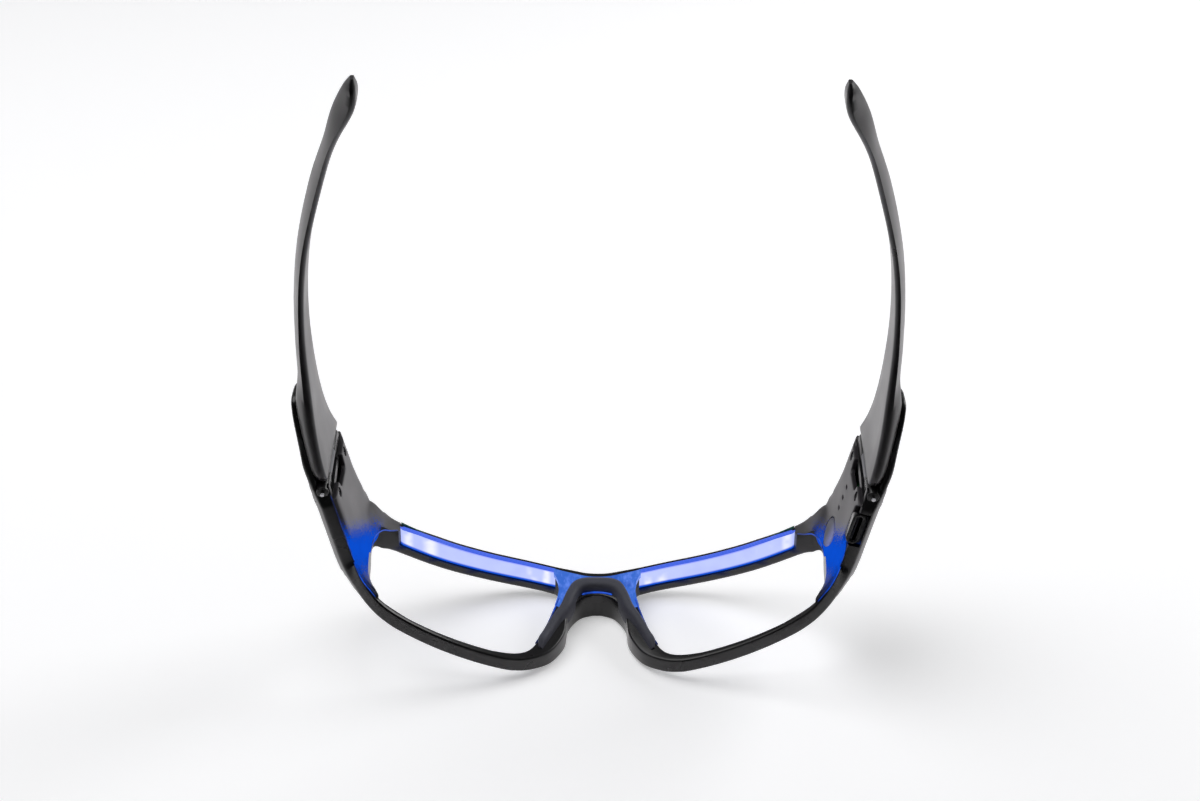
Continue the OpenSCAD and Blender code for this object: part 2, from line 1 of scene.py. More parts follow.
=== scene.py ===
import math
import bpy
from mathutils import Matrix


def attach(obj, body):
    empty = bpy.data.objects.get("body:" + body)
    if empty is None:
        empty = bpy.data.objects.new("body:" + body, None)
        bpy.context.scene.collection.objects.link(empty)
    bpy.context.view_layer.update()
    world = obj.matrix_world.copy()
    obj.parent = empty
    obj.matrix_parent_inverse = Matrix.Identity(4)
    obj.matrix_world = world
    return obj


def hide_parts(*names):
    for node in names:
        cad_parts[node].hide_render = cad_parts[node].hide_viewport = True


bl_info = {
    "name": "Light therapy glasses",
    "version": (1, 0, 0),
    "blender": (4, 5, 0),
    "location": "View3D > Sidebar > Glasses",
    "description": "Builds a lensless wrap frame with lit guides, covers, nose saddle and folding temples",
    "category": "Object",
}

import bmesh
import bpy
from bpy.props import FloatProperty, FloatVectorProperty, PointerProperty
from mathutils import Matrix, Vector
from mathutils.geometry import delaunay_2d_cdt
from mathutils.kdtree import KDTree

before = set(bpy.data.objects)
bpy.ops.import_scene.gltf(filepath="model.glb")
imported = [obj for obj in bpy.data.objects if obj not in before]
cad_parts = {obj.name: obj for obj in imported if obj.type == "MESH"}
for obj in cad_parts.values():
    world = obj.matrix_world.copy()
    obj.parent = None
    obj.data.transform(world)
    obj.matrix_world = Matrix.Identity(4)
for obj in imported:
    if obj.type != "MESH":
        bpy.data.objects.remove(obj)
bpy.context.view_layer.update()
MM = 0.001
SIDES = (("left", 1), ("right", -1))


def linear(code):
    """An sRGB hex colour as the linear colour that a shader takes."""
    parts = [int(code[i:i + 2], 16) / 255 for i in (0, 2, 4)]
    return [c / 12.92 if c <= 0.04045 else ((c + 0.055) / 1.055) ** 2.4 for c in parts]


def length(name, description, mm):
    return FloatProperty(name=name, description=description, default=mm * MM, min=0, unit="LENGTH", subtype="DISTANCE")


def turn(name, description, degrees):
    return FloatProperty(name=name, description=description, default=math.radians(degrees), subtype="ANGLE")


def level(name, description, value, subtype="NONE"):
    return FloatProperty(name=name, description=description, default=value, min=0, subtype=subtype)


def colour(name, description, code):
    return FloatVectorProperty(name=name, description=description, default=linear(code), size=3,
                               min=0, max=1, subtype="COLOR")


class GlassesFrontSizes(bpy.types.PropertyGroup):
    """Sizes of the front and its end pieces."""
    wrap_radius: length("Wrap radius", "Radius of the front, seen from above", 88)
    wrap_half: length("Wrap half width", "Half width at which the end pieces turn back", 53.5)
    turn_radius: length("Turn radius", "Radius of the turn into each end piece", 28)
    side_angle: turn("Side angle", "Direction of the end pieces, from straight sideways", 75.5)
    tilt: turn("Tilt", "Lean of the front, top forward", 6)
    rim_height: length("Rim height", "Height of the rims at the brow", 40)
    bridge_top: length("Bridge top", "Height of the top edge over the nose", 37.2)
    side_top: length("Side top", "Height of the end pieces' top edge", 32.4)
    side_low: length("Side low", "Height of the end pieces' bottom edge", 5.2)
    upper_depth: length("Brow depth", "Depth of the upper rim", 7)
    upper_height: length("Brow height", "Height of the upper rim", 3.6)
    lower_depth: length("Lower depth", "Depth of the lower rim", 3.6)
    lower_height: length("Lower height", "Height of the lower rim", 2.2)
    arch_height: length("Arch height", "Height of the arch over the nose", 27.8)
    arch_half: length("Arch half width", "Half width of the arch over the nose", 8)
    opening_out: length("Opening's outer end", "Half width to the outer end of a lens opening", 56.6)
    opening_in: length("Opening's inner corner", "Half width to the inner corner of a lens opening", 10)
    wall: length("Wall", "Outer wall of the end pieces", 1)
    bay_depth: length("Bay depth", "Distance from the outer face to the cover", 3.9)
    cover_wall: length("Cover wall", "Thickness of the inner covers", 1.1)
    wing: length("Wing length", "Length of the wing over each temple", 23)


class GlassesArmSizes(bpy.types.PropertyGroup):
    """Sizes of the temples and their hinges."""
    hinge_back: length("Hinge place", "Distance of the hinge pins behind the middle of the front", 50.35)
    hinge_in: length("Hinge inset", "Distance of the pins from the outer face", 1.94)
    temple_length: length("Temple length", "Length of a temple behind its pin", 116.2)
    temple_height: length("Temple height", "Height of a temple at its hinge", 25.6)
    ear_height: length("Ear height", "Height of a temple behind the ear", 8.6)
    temple_wall: length("Temple thickness", "Thickness of a temple at its hinge", 2.5)
    paddle: length("Paddle width", "Width of the paddle at the tip", 4.9)
    tip_out: length("Tip place", "Sideways place of the tips", 51.4)


class GlassesFinish(bpy.types.PropertyGroup):
    """Colours of the finishes."""
    shell: colour("Shell", "Moulded black plastic of the front and temples", "17151a")
    cover: colour("Covers", "Charcoal plastic of the inner covers", "3b373d")
    rubber: colour("Nose rubber", "Silicone rubber of the nose saddle", "363741")
    lit_core: colour("Lit guide", "Light in the middle of a guide", "bdc8ff")
    lit_edge: colour("Lit edge", "Light at the guide's borders and in the seams", "0a50d6")
    steel: colour("Steel", "Steel of the hinge pins", "c8c9cd")


class GlassesStage(bpy.types.PropertyGroup):
    """The floor, the table and the light."""
    floor: colour("Floor", "Pale floor", "f4f4f6")
    key_power: level("Key lamp", "Power of the soft key lamp", 4.8, "POWER")
    fill_power: level("Fill lamp", "Power of the soft fill lamp", 2.6, "POWER")
    world_level: level("World level", "Light of the bright side of the room", 0.8)
    room_level: level("Room level", "Light of the dim side of the room", 0.1)
    paper_lift: level("Paper lift", "Light that the paper shows the camera, so that it turns out white", 0.36)


# ---------------------------------------------------------------- curves, in millimetres

def through(points, n):
    """A smooth curve through points, n steps in each stretch."""
    out = []
    for i in range(len(points) - 1):
        a, b = points[max(i - 1, 0)], points[i]
        c, d = points[i + 1], points[min(i + 2, len(points) - 1)]
        for k in range(n):
            t = k / n
            out.append(tuple(b[j] + ((c[j] - a[j]) * t + (2 * a[j] - 5 * b[j] + 4 * c[j] - d[j]) * t * t
                                     + (3 * b[j] - a[j] - 3 * c[j] + d[j]) * t ** 3) / 2 for j in range(len(b))))
    return out + [tuple(points[-1])]


def lookup(x, table):
    """Straight interpolation in a table of (place, value)."""
    if x <= table[0][0]:
        return table[0][1]
    for (x0, y0), (x1, y1) in zip(table, table[1:]):
        if x <= x1:
            return y0 + (y1 - y0) * (x - x0) / max(x1 - x0, 1e-9)
    return table[-1][1]


def ease(t):
    t = min(max(t, 0.0), 1.0)
    return t * t * (3 - 2 * t)


def bisect(low, high, steps, before):
    """The place between low and high up to which before is true."""
    for _ in range(steps):
        mid = (low + high) / 2
        if before(mid):
            low = mid
        else:
            high = mid
    return low


def spread(points, step):
    """Points at an even spacing along a line, its corners kept."""
    out = [points[0]]
    for a, b in zip(points, points[1:]):
        n = max(1, round(math.dist(a, b) / step))
        out += [tuple(a[j] + (b[j] - a[j]) * k / n for j in range(2)) for k in range(1, n + 1)]
    return out


def closed(loop, step):
    """A closed loop of points at an even spacing."""
    return spread(loop + [loop[0]], step)[:-1]


def mirrored(loop):
    return [(-q, w) for q, w in reversed(loop)]


def arc(x, y, r, first, step, count):
    """Points on a circle, from one angle on in steps, in degrees."""
    angles = [math.radians(first + step * k) for k in range(count)]
    return [(x + r * math.cos(a), y + r * math.sin(a)) for a in angles]


def turns(n, way=1):
    """The cosine and sine of n steps round a circle."""
    return [(math.cos(way * 2 * math.pi * k / n), math.sin(way * 2 * math.pi * k / n)) for k in range(n)]


def settings(group):
    """The names of a group's own properties."""
    return [name for name in group.bl_rna.properties.keys() if name not in ("rna_type", "name")]


class Wrap:
    """The front's curved plan: q runs along its outer face from the middle, w up, d inwards, in millimetres.
    In the front's own frame u is sideways and v backwards; the shared frame leans against it by the tilt."""
    straight = 24.0  # the length of the side that runs straight
    bow = 120.0  # the radius of its slight bend behind that
    foot_u = 25.0  # the sideways place where w = 0 has height 0 in the shared frame

    def __init__(self, scene):
        for group in (scene.glasses_front, scene.glasses_arms):
            for name in settings(group):
                setattr(self, name, getattr(group, name) / MM)
        self.side_angle, self.tilt = scene.glasses_front.side_angle, scene.glasses_front.tilt
        self.cover_depth = self.bay_depth + self.cover_wall
        self.turn = math.asin(self.wrap_half / self.wrap_radius)
        self.centre = (self.wrap_half - self.turn_radius * math.sin(self.turn),
                       self.wrap_radius - (self.wrap_radius - self.turn_radius) * math.cos(self.turn))
        self.q_turn = self.wrap_radius * self.turn
        self.q_side = self.q_turn + self.turn_radius * (self.side_angle - self.turn)
        a = self.side_angle
        self.start = (self.centre[0] + self.turn_radius * math.sin(a), self.centre[1] - self.turn_radius * math.cos(a))
        end = (self.start[0] + self.straight * math.cos(a), self.start[1] + self.straight * math.sin(a))
        self.bow_centre = (end[0] - self.bow * math.sin(a), end[1] + self.bow * math.cos(a))
        foot = self.wrap_radius - math.sqrt(self.wrap_radius ** 2 - self.foot_u ** 2)
        self.drop = foot * math.sin(self.tilt)
        self.mid_y = (self.hinge_back + self.temple_length - self.bridge_top * math.sin(self.tilt)) / 2
        self.hinge_x = self.start[0] + (self.hinge_back - self.start[1]) / math.tan(a) - self.hinge_in
        self.cover_end, self.foot_end = self.hinge_back - 1.5, self.hinge_back + 1.35
        low, high, rise = self.bridge_top, self.rim_height, self.rim_height - self.bridge_top
        h, top = self.wrap_half, self.side_top
        self.top_edge = through([(0, low), (2.96, low + rise * 0.07), (7.95, low + rise * 0.47), (18.5, high),
                                 (29.97, high - 0.8), (h - 12, high - 3), (h - 4, top + 2.7), (h + 1, top + 0.9),
                                 (h + 5, top), (90, top)], 8)
        n, arch, low = self.arch_half, self.arch_height, self.side_low
        self.low_edge = through([(0, arch - 0.4), (1.6, arch - 0.6), (4.6, arch - 2.5), (n - 0.7, arch - 8),
                                 (n + 0.2, 12.6), (n + 3.4, 6), (n + 8, 2.2), (20, 0.5), (25, -0.1), (h - 8, -0.15),
                                 (h - 2, 0.2), (h + 3, 1.8), (h + 8, low - 1.1), (h + 13, low - 0.35),
                                 (90, low - 0.35)], 8)

    def top_at(self, u):
        return lookup(abs(u), self.top_edge)

    def low_at(self, q):
        return lookup(self.plan(q, 0)[0], self.low_edge)

    def eye_at(self, u):
        return self.top_at(u) - self.upper_height

    def at_angle(self, a, d):
        if a <= self.turn:
            r = self.wrap_radius - d
            return (r * math.sin(a), self.wrap_radius - r * math.cos(a))
        r = self.turn_radius - d
        return (self.centre[0] + r * math.sin(a), self.centre[1] - r * math.cos(a))

    def angle(self, q):
        q = abs(q)
        if q <= self.q_turn:
            return q / self.wrap_radius
        return min(self.turn + (q - self.q_turn) / self.turn_radius, self.side_angle)

    def plan(self, q, d):
        """A point of the plan. Across the front d runs straight back, and at the sides straight inwards."""
        q = abs(q)
        if q <= self.q_side:
            a = self.angle(q)
            u = self.at_angle(a, 0)[0]
            if (self.wrap_radius - d) * math.sin(self.turn) >= u:
                b = math.asin(u / (self.wrap_radius - d))
            else:
                b = math.asin(min((u - self.centre[0]) / (self.turn_radius - d), 0.985))
            # the depth's direction changes between 46 and 72 degrees of turn
            keep = 1 - ease((a - math.radians(46)) / math.radians(26))
            return self.at_angle(a + keep * (b - a), d)
        a = self.side_angle
        s = q - self.q_side
        if s <= self.straight:
            return (self.start[0] + s * math.cos(a) - d * math.sin(a),
                    self.start[1] + s * math.sin(a) + d * math.cos(a))
        a = self.side_angle + (s - self.straight) / self.bow
        r = self.bow - d
        return (self.bow_centre[0] + r * math.sin(a), self.bow_centre[1] - r * math.cos(a))

    def q_of_u(self, u):
        if u <= self.wrap_half:
            return self.wrap_radius * math.asin(u / self.wrap_radius)
        ratio = (u - self.centre[0]) / self.turn_radius
        return self.q_turn + self.turn_radius * (math.asin(min(ratio, 0.99)) - self.turn)

    def q_of_v(self, v, d=0.0):
        return bisect(0.0, self.q_side + 60, 40, lambda q: self.plan(q, d)[1] < v)

    def row_y(self, q, w, d=0.0):
        """How far behind the middle of the front a point is, in the shared frame."""
        return self.plan(q, d)[1] * math.cos(self.tilt) - w * math.sin(self.tilt)

    def q_of_row_y(self, y, w):
        return self.q_of_v((y + w * math.sin(self.tilt)) / math.cos(self.tilt))

    def place(self, q, w, d, side=1):
        """The place in the shared frame, in metres."""
        u, v = self.plan(q, d)
        return self.local(math.copysign(u, q) * side, v, w)

    def local(self, u, v, w):
        c, s = math.cos(self.tilt), math.sin(self.tilt)
        return Vector((u, -self.mid_y + v * c - w * s, -self.drop + v * s + w * c)) * MM

    def row(self, x, y, z):
        """The place of a temple's or a hinge's point, y behind the middle of the front and z up, in metres."""
        return Vector((x, y - self.mid_y, z)) * MM

    # closed outlines in (q, w)
    def wing_curve(self):
        y, top, low, end = self.hinge_back, self.side_top, self.side_low, self.hinge_back + self.wing
        return through([(y + 2.2, top), (y + 5.7, top - 1.2), (y + 11.7, top - 4), (y + 17.7, top - 7),
                        (end - 1.6, top - 9.8), (end + 0.1, top - 13), (end + 0.7, top - 17), (end, low + 5.4),
                        (y + 17.7, low + 3.2), (y + 9.7, low + 2.6), (y + 1.7, low + 1), (y - 3.3, low - 0.35)], 6)

    def outline_half(self):
        """From the arch over the nose along the bottom, round the wing and back along the top."""
        q_wing_low, q_wing_top = self.q_of_v(self.hinge_back - 3.3), self.q_of_v(self.hinge_back + 2.2)
        u_side = self.start[0] - 0.4
        bottom = [(self.q_of_u(u), w) for u, w in self.low_edge if u < u_side]
        top = [(self.q_of_u(u), w) for u, w in self.top_edge if u < u_side]
        steps = 12
        q_last = bottom[-1][0]
        on = [q_last + (q_wing_low - q_last) * k / steps for k in range(1, steps)]
        bottom += [(q, self.low_at(q)) for q in on]
        q_last = top[-1][0]
        top += [(q_last + (q_wing_top - q_last) * k / steps, self.side_top) for k in range(1, steps)]
        wing = [(self.q_of_v(v), w) for v, w in reversed(self.wing_curve())]
        return bottom + wing + top[::-1]

    def outline(self):
        half = spread(self.outline_half(), 0.9)
        return half + mirrored(half[1:-1])

    def opening(self):
        """One lens opening, clockwise on the left side."""
        o, i, h, low = self.opening_out, self.opening_in, self.arch_half, self.lower_height - 0.25
        eye = self.eye_at
        first, last, step = i + 4.2, o - 7, 2
        edge = [(first + step * k, eye(first + step * k)) for k in range(int((last - first) / step) + 1)]
        edge += through([(o - 5, eye(o - 5)), (o - 1.9, eye(o - 2) - 0.4), (o + 0.6, 27.5), (o + 0.3, 18),
                         (o - 0.2, 8.6), (o - 1.2, 4), (o - 3.4, low + 0.4), (o - 10.6, low - 0.4)], 6)
        edge += through([(26, low), (20.4, low + 1), (17, low + 3.2), (h + 6.6, 9.4), (h + 4.1, 17), (i - 0.8, 28),
                         (i - 0.5, 32.6), (i + 1.2, 35.2)], 6)
        return closed([(self.q_of_u(u), w) for u, w in edge], 0.9)

    def rim_depth(self, w):
        return lookup(w, [(0, self.lower_depth), (5, self.lower_depth + 0.3), (self.arch_height, self.upper_depth)])

    def rear(self, q, w):
        """Depth of the frame's rear face, that of the rims in front and that of the cover's bay at the sides."""
        a = self.angle(q)
        t = ease((a - self.turn - math.radians(1.5)) / math.radians(5))
        return min(self.rim_depth(w) * (1 - t) + self.bay_depth * t, self.cap(q) - 0.02)

    def cap(self, q):
        """The deepest that the brow gets, which runs out towards the covers."""
        depth = self.upper_depth
        return lookup(math.degrees(self.angle(q)),
                      [(28, depth), (31.5, depth - 0.3), (34.6, depth - 0.8), (37, depth - 0.93),
                       (41.4, depth - 0.87), (44.5, depth - 0.95), (47.5, 5.6), (51, 5.0)])


# ---------------------------------------------------------------- mesh making

def made(name, verts, faces, smooth=40, places=None, shine=None):
    """A mesh object with its faces turned outwards, smooth up to an angle. For the materials, places are each
    point's q, its height over the lower edge of the brow and its depth, and shine is its share of light."""
    mesh = bpy.data.meshes.new(name)
    mesh.from_pydata([tuple(v) for v in verts], [], faces)
    if places:
        values = mesh.attributes.new("wrap place", "FLOAT_VECTOR", "POINT").data
        values.foreach_set("vector", [c for p in places for c in p])
    if shine:
        mesh.attributes.new("shine", "FLOAT", "POINT").data.foreach_set("value", shine)
    ob = bpy.data.objects.new(name, mesh)
    bpy.context.collection.objects.link(ob)
    tidy(ob, smooth)
    return ob


def alone(ob):
    """Only this object is selected and active."""
    if bpy.context.object and bpy.context.object.mode != "OBJECT":
        bpy.ops.object.mode_set(mode="OBJECT")
    bpy.ops.object.select_all(action="DESELECT")
    ob.select_set(True)
    bpy.context.view_layer.objects.active = ob


def tidy(ob, smooth=40):
    """Doubles merged, faces outwards, smooth shading under an angle."""
    bm = bmesh.new()
    bm.from_mesh(ob.data)
    bmesh.ops.remove_doubles(bm, verts=bm.verts, dist=2e-6)
    bmesh.ops.dissolve_degenerate(bm, dist=1e-7, edges=bm.edges)
    bmesh.ops.recalc_face_normals(bm, faces=bm.faces)
    bm.to_mesh(ob.data)
    bm.free()
    alone(ob)
    bpy.ops.object.shade_smooth_by_angle(angle=math.radians(smooth), keep_sharp_edges=True)


def joined(first, others):
    """The others become part of the first object."""
    alone(first)
    for ob in others:
        ob.select_set(True)
    bpy.ops.object.join()
    return first


def inset(loop, dists):
    """A closed loop moved to its left by a distance at each point."""
    out = []
    for i, b in enumerate(loop):
        a, c = loop[i - 1], loop[(i + 1) % len(loop)]
        t1 = (b[0] - a[0], b[1] - a[1])
        t2 = (c[0] - b[0], c[1] - b[1])
        l1, l2 = math.hypot(*t1) or 1, math.hypot(*t2) or 1
        nx, ny = -t1[1] / l1 - t2[1] / l2, t1[0] / l1 + t2[0] / l2
        m = math.hypot(nx, ny) or 1
        k = dists[i] / max(m / 2, 0.6) / m
        out.append((b[0] + nx * k, b[1] + ny * k))
    return out


def dip(dist, r):
    """How far a rounded edge falls, at a distance from the edge."""
    if r <= 0 or dist >= r:
        return 0.0
    return r - math.sqrt(max(r * r - (r - dist) ** 2, 0))


def ring_edges(first, count):
    return [(first + i, first + (i + 1) % count) for i in range(count)]


def plate(name, wrap, loops, front, back, rounds, lines=(), side=1, step=1.5, rows=3):
    """A slab between two depths, with rounded edges, drawn flat in (q, w) and wrapped onto the plan.
    loops[0] is the outline, anticlockwise; the others are holes, clockwise."""
    coords, edges, faces, trees = [], [], [], []
    for k, loop in enumerate(loops):
        ids = list(range(len(coords), len(coords) + len(loop)))
        faces.append(ids if k == 0 else ids[::-1])
        radius = [max(rounds(k, q, w)) for q, w in loop]
        # the outline itself, and four lines inside it that carry the rounded edge
        for turn in (0, 22.5, 45, 67.5, 90):
            edges += ring_edges(len(coords), len(loop))
            coords += inset(loop, [r * (1 - math.cos(math.radians(turn))) for r in radius]) if turn else loop
        # distances to the outline are measured to points close together on it
        fine = spread(loop + [loop[0]], 0.12)
        tree = KDTree(len(fine))
        for i, p in enumerate(fine):
            tree.insert((p[0], p[1], 0), i)
        tree.balance()
        trees.append((tree, max(radius)))
    for line in lines:
        start = len(coords)
        coords += line
        edges += [(start + i, start + i + 1) for i in range(len(line) - 1)]
    # points all over the slab, every second row shifted, which keep off the rounded edges
    shift, clear = 0.31, 0.35
    qs, ws = [p[0] for p in loops[0]], [p[1] for p in loops[0]]
    for i in range(int((max(qs) - min(qs)) / step) + 1):
        for j in range(int((max(ws) - min(ws)) / step) + 1):
            p = (min(qs) + i * step + shift * (j % 2), min(ws) + j * step)
            if all(tree.find((p[0], p[1], 0))[2] > r + clear for tree, r in trees):
                coords.append(p)
    verts, _, tris, _, _, owners = delaunay_2d_cdt([Vector(p) for p in coords], edges, faces, 1, 1e-5, True)
    tris = [t for t, o in zip(tris, owners) if 0 in o and not any(k in o for k in range(1, len(loops)))]
    count = {}
    for t in tris:
        for a, b in zip(t, t[1:] + t[:1]):
            key = (min(a, b), max(a, b))
            count[key] = count.get(key, 0) + 1
    # an edge of one triangle only is on the border
    border = [e for e, c in count.items() if c == 1]
    on_border = {v for e in border for v in e}
    used = sorted({v for t in tris for v in t})
    new = {v: i for i, v in enumerate(used)}
    # both faces fall away towards each border by its rounding, which is shared out where the slab is thin
    depth_front, depth_back = [], []
    for v in used:
        q, w = verts[v]
        fall_f = fall_b = 0.0
        for k, (tree, _) in enumerate(trees):
            dist = tree.find((q, w, 0))[2]
            if dist < 4:
                rf, rb = rounds(k, q, w)
                if v in on_border and dist < 0.1:
                    dist = 0.0
                fall_f, fall_b = max(fall_f, dip(dist, rf)), max(fall_b, dip(dist, rb))
        f, b = front(q, w), back(q, w)
        scale = min(1.0, max(b - f - 0.05, 0.02) / max(fall_f + fall_b, 1e-6))
        depth_front.append(f + fall_f * scale)
        depth_back.append(b - fall_b * scale)
    spots = [(*verts[v], depths[new[v]]) for depths in (depth_front, depth_back) for v in used]
    n = len(used)
    out = [tuple(new[i] for i in t) for t in tris] + [tuple(n + new[i] for i in reversed(t)) for t in tris]
    chain = {}
    for v in on_border:
        i = new[v]
        first = len(spots)
        spots += [(*verts[v], depth_front[i] + (depth_back[i] - depth_front[i]) * r / rows) for r in range(1, rows)]
        chain[v] = [i, *range(first, len(spots)), n + i]
    for a, b in border:
        for r in range(rows):
            out.append((chain[a][r], chain[b][r], chain[b][r + 1], chain[a][r + 1]))
    places = [(abs(q), w - wrap.eye_at(wrap.plan(q, 0)[0]), d) for q, w, d in spots]
    return made(name, [wrap.place(q, w, d, side) for q, w, d in spots], out, places=places)


def lofted(name, rings, smooth=50, endless=False, shine=None):
    """Rings of equal count joined in order, the ends closed by a fan."""
    n = len(rings[0])
    verts = [tuple(p) for ring in rings for p in ring]
    faces = []
    for i in range(len(rings) if endless else len(rings) - 1):
        for k in range(n):
            a, b = i * n, ((i + 1) % len(rings)) * n
            faces.append((a + k, a + (k + 1) % n, b + (k + 1) % n, b + k))
    if not endless:
        for i in (0, len(rings) - 1):
            verts.append(tuple(sum((Vector(p) for p in rings[i]), Vector()) / n))
            faces += [(i * n + k, i * n + (k + 1) % n, len(verts) - 1) for k in range(n)]
    light = [v for v in shine for _ in range(n)] + [shine[0], shine[-1]] if shine else None
    return made(name, verts, faces, smooth, shine=light)


def tube(name, points, radius, shine):
    """A thin round bead along a line of points, in metres, thinned out at both ends."""
    rings = []
    last = len(points) - 1
    for i, p in enumerate(points):
        ahead = (points[min(i + 1, last)] - points[max(i - 1, 0)]).normalized()
        side = ahead.cross(Vector((0.31, 0.52, 0.79))).normalized()  # a direction that no bead runs in
        up = side.cross(ahead)
        r = radius * MM * (0.15 if i in (0, last) else 1.0)
        rings.append([p + (side * c + up * s) * r for c, s in turns(10)])
    return lofted(name, rings, shine=shine)


def cut(ob, cutters):
    """Other objects taken out of this one, and then deleted."""
    for c in cutters:
        m = ob.modifiers.new("cut", "BOOLEAN")
        m.operation, m.solver, m.object = "DIFFERENCE", "EXACT", c
        alone(ob)
        bpy.ops.object.modifier_apply(modifier=m.name)
        bpy.data.objects.remove(c)
    tidy(ob)


def frame_at(wrap, s, d, w, side=1):
    """Axes on an end piece's straight side: along it, up, and outwards."""
    a, t = wrap.side_angle, wrap.tilt
    out = Vector((side * math.sin(a), -math.cos(a) * math.cos(t), -math.cos(a) * math.sin(t)))
    up = Vector((0, -math.sin(t), math.cos(t)))
    up = (up - up.dot(out) * out).normalized()
    m = Matrix((up.cross(out), up, out)).transposed().to_4x4()
    m.translation = wrap.place(wrap.q_side + s, w, d, side)
    return m


def settled(name, matrix, bevel, segments, picked):
    """The object that was just added, with the picked edges bevelled. Its place goes into its mesh."""
    ob = bpy.context.object
    ob.name = name
    if bevel:
        bpy.ops.object.mode_set(mode="EDIT")
        bpy.ops.mesh.select_all(action="DESELECT")
        bm = bmesh.from_edit_mesh(ob.data)
        for e in bm.edges:
            e.select = picked(e)
        bmesh.update_edit_mesh(ob.data)
        bpy.ops.mesh.bevel(offset=bevel * MM, segments=segments, affect="EDGES")
        bpy.ops.object.mode_set(mode="OBJECT")
    ob.matrix_world = matrix
    alone(ob)
    bpy.ops.object.transform_apply(location=True, rotation=True, scale=True)
    return ob


def round_bar(name, matrix, radius, depth, n=32, bevel=0.0):
    """A cylinder on a place's outward axis, its two rims bevelled."""
    bpy.ops.object.select_all(action="DESELECT")
    bpy.ops.mesh.primitive_cylinder_add(vertices=n, radius=radius * MM, depth=depth * MM)

    def on_rim(e):
        z = [v.co.z for v in e.verts]
        return abs(z[0] - z[1]) < 1e-9 and abs(z[0]) > depth * MM * 0.49
    return settled(name, matrix, bevel, 3, on_rim)


def block(name, matrix, size, bevel=0.0):
    """A box centred on a place, its edges bevelled."""
    bpy.ops.object.select_all(action="DESELECT")
    bpy.ops.mesh.primitive_cube_add(size=1)
    bpy.context.object.scale = [v * MM for v in size]
    bpy.ops.object.transform_apply(location=False, rotation=False, scale=True)
    return settled(name, matrix, bevel, 2, lambda e: True)


def wear(ob, finish):
    ob.data.materials.clear()
    ob.data.materials.append(finish)


def dress(ob, finish, stands_for=None, body="front"):
    """A piece's material, the body that it rides on and the CAD node that it stands for."""
    wear(ob, bpy.data.materials[finish])
    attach(ob, body)
    if stands_for:
        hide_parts(stands_for)


# ---------------------------------------------------------------- materials

# The nodes that the materials use: type, options, the sockets that values go into in order, and the output
SMOOTH, RGBA = {"interpolation_type": "SMOOTHSTEP"}, {"data_type": "RGBA"}
KINDS = {
    "place": ("TexCoord", {}, (), "Object"),
    "toward": ("TexCoord", {}, (), "Generated"),
    "wrap place": ("Attribute", {"attribute_name": "wrap place"}, (), "Vector"),
    "shine": ("Attribute", {"attribute_name": "shine"}, (), "Fac"),
    "stretch": ("Mapping", {}, ("Vector", "Scale"), 0),
    "noise": ("TexNoise", {}, ("Vector", "Scale", "Detail", "Roughness"), 0),
    "waves": ("TexWave", {"bands_direction": "Y"}, ("Vector", "Scale", "Distortion", "Detail"), "Fac"),
    "bricks": ("TexBrick", {}, ("Vector", "Scale", "Mortar Size"), "Fac"),
    "ramp": ("MapRange", SMOOTH, ("Value", "From Min", "From Max", "To Min", "To Max"), "Result"),
    "blend": ("Mix", RGBA, ("Factor", "A", "B"), "Result"),
    "split": ("SeparateXYZ", {}, (0,), None),
    "bump": ("Bump", {}, ("Height", "Distance", "Strength"), "Normal"),
    "body": ("BsdfPrincipled", {}, (), 0),
    "matt": ("BsdfDiffuse", {}, ("Color",), 0),
    "glow": ("Emission", {}, ("Strength",), 0),
    "clear": ("BsdfTransparent", {}, (), 0),
    "both": ("AddShader", {}, (0, 1), 0),
    "either": ("MixShader", {}, (0, 1, 2), 0),
    "path": ("LightPath", {}, (), None),
    "surface": ("NewGeometry", {}, (), None),
    "skin": ("OutputMaterial", {}, ("Surface",), None),
    "room": ("Background", {}, ("Color", "Strength"), 0),
    "sky": ("OutputWorld", {}, ("Surface",), None),
}
KINDS.update({word: ("Math", {"operation": name}, (0, 1), 0) for word, name in (
    ("add", "ADD"), ("less", "SUBTRACT"), ("times", "MULTIPLY"), ("most", "MAXIMUM"), ("size", "ABSOLUTE"))})
KINDS.update({word: ("VectorMath", {"operation": name}, (0, 1), out) for word, name, out in (
    ("away", "SUBTRACT", 0), ("shrunk", "DIVIDE", 0), ("span", "LENGTH", "Value"), ("along", "DOT_PRODUCT", "Value"))})


def node(t, word, *values, **named):
    """Adds one node of KINDS. Values go to its sockets in order, or by the socket's name with _ for a space.
    A value that is a socket of an earlier node is linked, and any other is set."""
    kind, options, sockets, out = KINDS[word]
    n = t.nodes.new("ShaderNode" + kind)
    for key, value in options.items():
        setattr(n, key, value)
    by_name = [(key.replace("_", " "), value) for key, value in named.items()]
    for key, value in [*zip(sockets, values), *by_name]:
        if isinstance(value, bpy.types.NodeSocket):
            t.links.new(value, n.inputs[key])
        elif n.inputs[key].type == "RGBA":
            n.inputs[key].default_value = [*value, 1]
        else:
            n.inputs[key].default_value = value
    return n.outputs if out is None else n.outputs[out]


def shade(base, by, plus=0.0):
    """A colour made darker or lighter."""
    return [c * by + plus for c in base]


def material(name, make, **look):
    """A new material, whose shader make builds."""
    m = bpy.data.materials.new(name)
    m.use_nodes = True
    t = m.node_tree
    t.nodes.clear()
    node(t, "skin", make(t, **look))
    return m


def grain(t, size_mm, detail=2.0, roughness=0.5, stretch=None):
    """Noise whose features have a real size."""
    where = node(t, "place")
    if stretch:
        where = node(t, "stretch", where, stretch)
    return node(t, "noise", where, 1000 / size_mm, detail, roughness)


